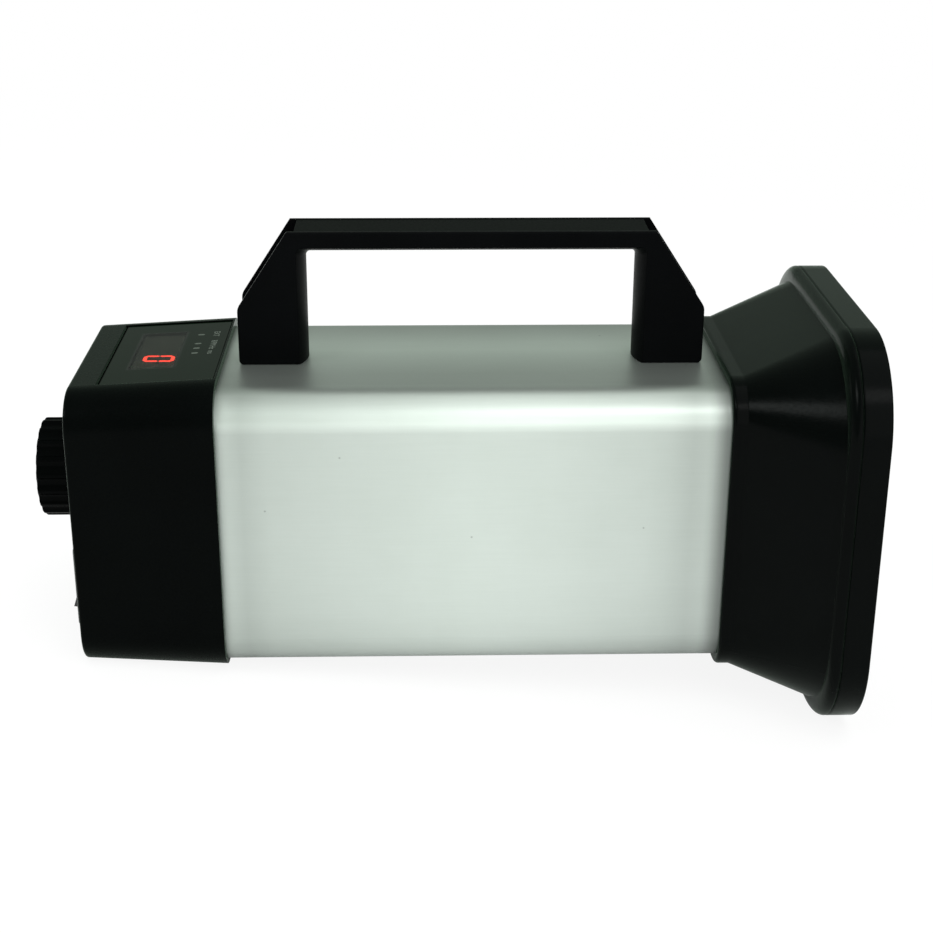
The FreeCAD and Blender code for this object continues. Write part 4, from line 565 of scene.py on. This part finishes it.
# Away from the object the paper fades to the white of the backdrop
spot = add(tree, "ShaderNodeTexCoord")
distance = add(tree, "ShaderNodeVectorMath", operation="LENGTH")
tree.links.new(spot.outputs["Object"], distance.inputs[0])
fade_start, fade_end, near_white, mirrored_white = 0.25, 0.75, 0.89, 0.25
far = add(tree, "ShaderNodeMapRange")
far.inputs["From Min"].default_value = fade_start
far.inputs["From Max"].default_value = fade_end
far.inputs["To Min"].default_value = near_white
far.inputs["To Max"].default_value = 1.0
tree.links.new(distance.outputs["Value"], far.inputs["Value"])
straight = add(tree, "ShaderNodeMath", operation="MULTIPLY")
tree.links.new(far.outputs["Result"], straight.inputs[0])
tree.links.new(path.outputs["Is Camera Ray"], straight.inputs[1])
mirrored = add(tree, "ShaderNodeMath", operation="MULTIPLY")
mirrored.inputs[1].default_value = mirrored_white
tree.links.new(path.outputs["Is Glossy Ray"], mirrored.inputs[0])
share = add(tree, "ShaderNodeMath", operation="MAXIMUM")
tree.links.new(straight.outputs[0], share.inputs[0])
tree.links.new(mirrored.outputs[0], share.inputs[1])
tree.links.new(share.outputs[0], blend.inputs["Fac"])
tree.links.new(lit.outputs[0], blend.inputs[1])
tree.links.new(white.outputs[0], blend.inputs[2])
tree.links.new(blend.outputs[0], out.inputs["Surface"])
floor_mesh.materials.append(paper)

world = bpy.data.worlds.new("studio")
world.use_nodes = True
bpy.context.scene.world = world
tree = world.node_tree
background = tree.nodes["Background"]
path = add(tree, "ShaderNodeLightPath")
backdrop = add(tree, "ShaderNodeMix", data_type="RGBA")
backdrop.inputs["A"].default_value = (0.37, 0.42, 0.375, 1.0)
backdrop.inputs["B"].default_value = (1.0, 1.0, 1.0, 1.0)
tree.links.new(path.outputs["Is Camera Ray"], backdrop.inputs["Factor"])
tree.links.new(backdrop.outputs["Result"], background.inputs["Color"])
background.inputs["Strength"].default_value = 1.0


def softbox(name, place_at, aim, width, height, radiance, colour=(1.0, 1.0, 1.0)):
    """A rectangular light of an even brightness, turned to face a point."""
    light = bpy.data.lights.new(name, "AREA")
    light.shape = "RECTANGLE"
    light.size = width
    light.size_y = height
    light.energy = radiance * math.pi * width * height
    light.color = colour
    lamp = bpy.data.objects.new(name, light)
    lamp.location = place_at
    lamp.rotation_euler = (Vector(aim) - Vector(place_at)).to_track_quat("-Z", "Y").to_euler()
    lamp.visible_camera = False
    bpy.context.scene.collection.objects.link(lamp)
    return lamp


softbox("front", (0.60, -1.20, 0.62), (0.60, 0.0, 0.62), 1.5, 1.24, 1.36)
softbox("front_top", (0.60, -0.42, 1.28), (0.60, -0.42, 0.0), 1.5, 1.60, 1.10)
softbox("left_window", (-0.80, -0.50, 0.80), (0.07, -0.04, 0.07), 0.46, 0.30, 9.2,
        (0.93, 1.0, 0.97))
softbox("right_window", (0.42, -0.90, 1.0), (0.09, -0.05, 0.08), 0.45, 0.30, 4.4)
overhead = softbox("overhead", (0.0, 0.05, 1.2), (0.0, 0.0, 0.04), 1.8, 1.4, 2.0)
overhead.visible_glossy = False

camera_data = bpy.data.cameras.new("photo_camera")
# The camera fitted to the photo's straight edges
camera_data.sensor_width = 36.0
camera_data.lens = 66.49
camera_data.clip_start = 0.01
camera_data.clip_end = 50.0
camera = bpy.data.objects.new("photo_camera", camera_data)
bpy.context.scene.collection.objects.link(camera)
pitch = math.radians(22.0)
yaw = math.radians(1.62)
roll = math.radians(0.24)
forward = Vector((math.sin(yaw) * math.cos(pitch), math.cos(yaw) * math.cos(pitch),
                  -math.sin(pitch)))
right = Vector((math.cos(yaw), -math.sin(yaw), 0.0))
upward = right.cross(forward)
camera_right = right * math.cos(roll) + upward * math.sin(roll)
camera_up = upward * math.cos(roll) - right * math.sin(roll)
turn = Matrix((camera_right, camera_up, -forward)).transposed().to_4x4()
camera_place = Vector((-0.01292, -0.42494, 0.21424))
camera.matrix_world = Matrix.Translation(camera_place) @ turn
bpy.context.scene.camera = camera
bpy.context.scene.view_settings.view_transform = "Standard"
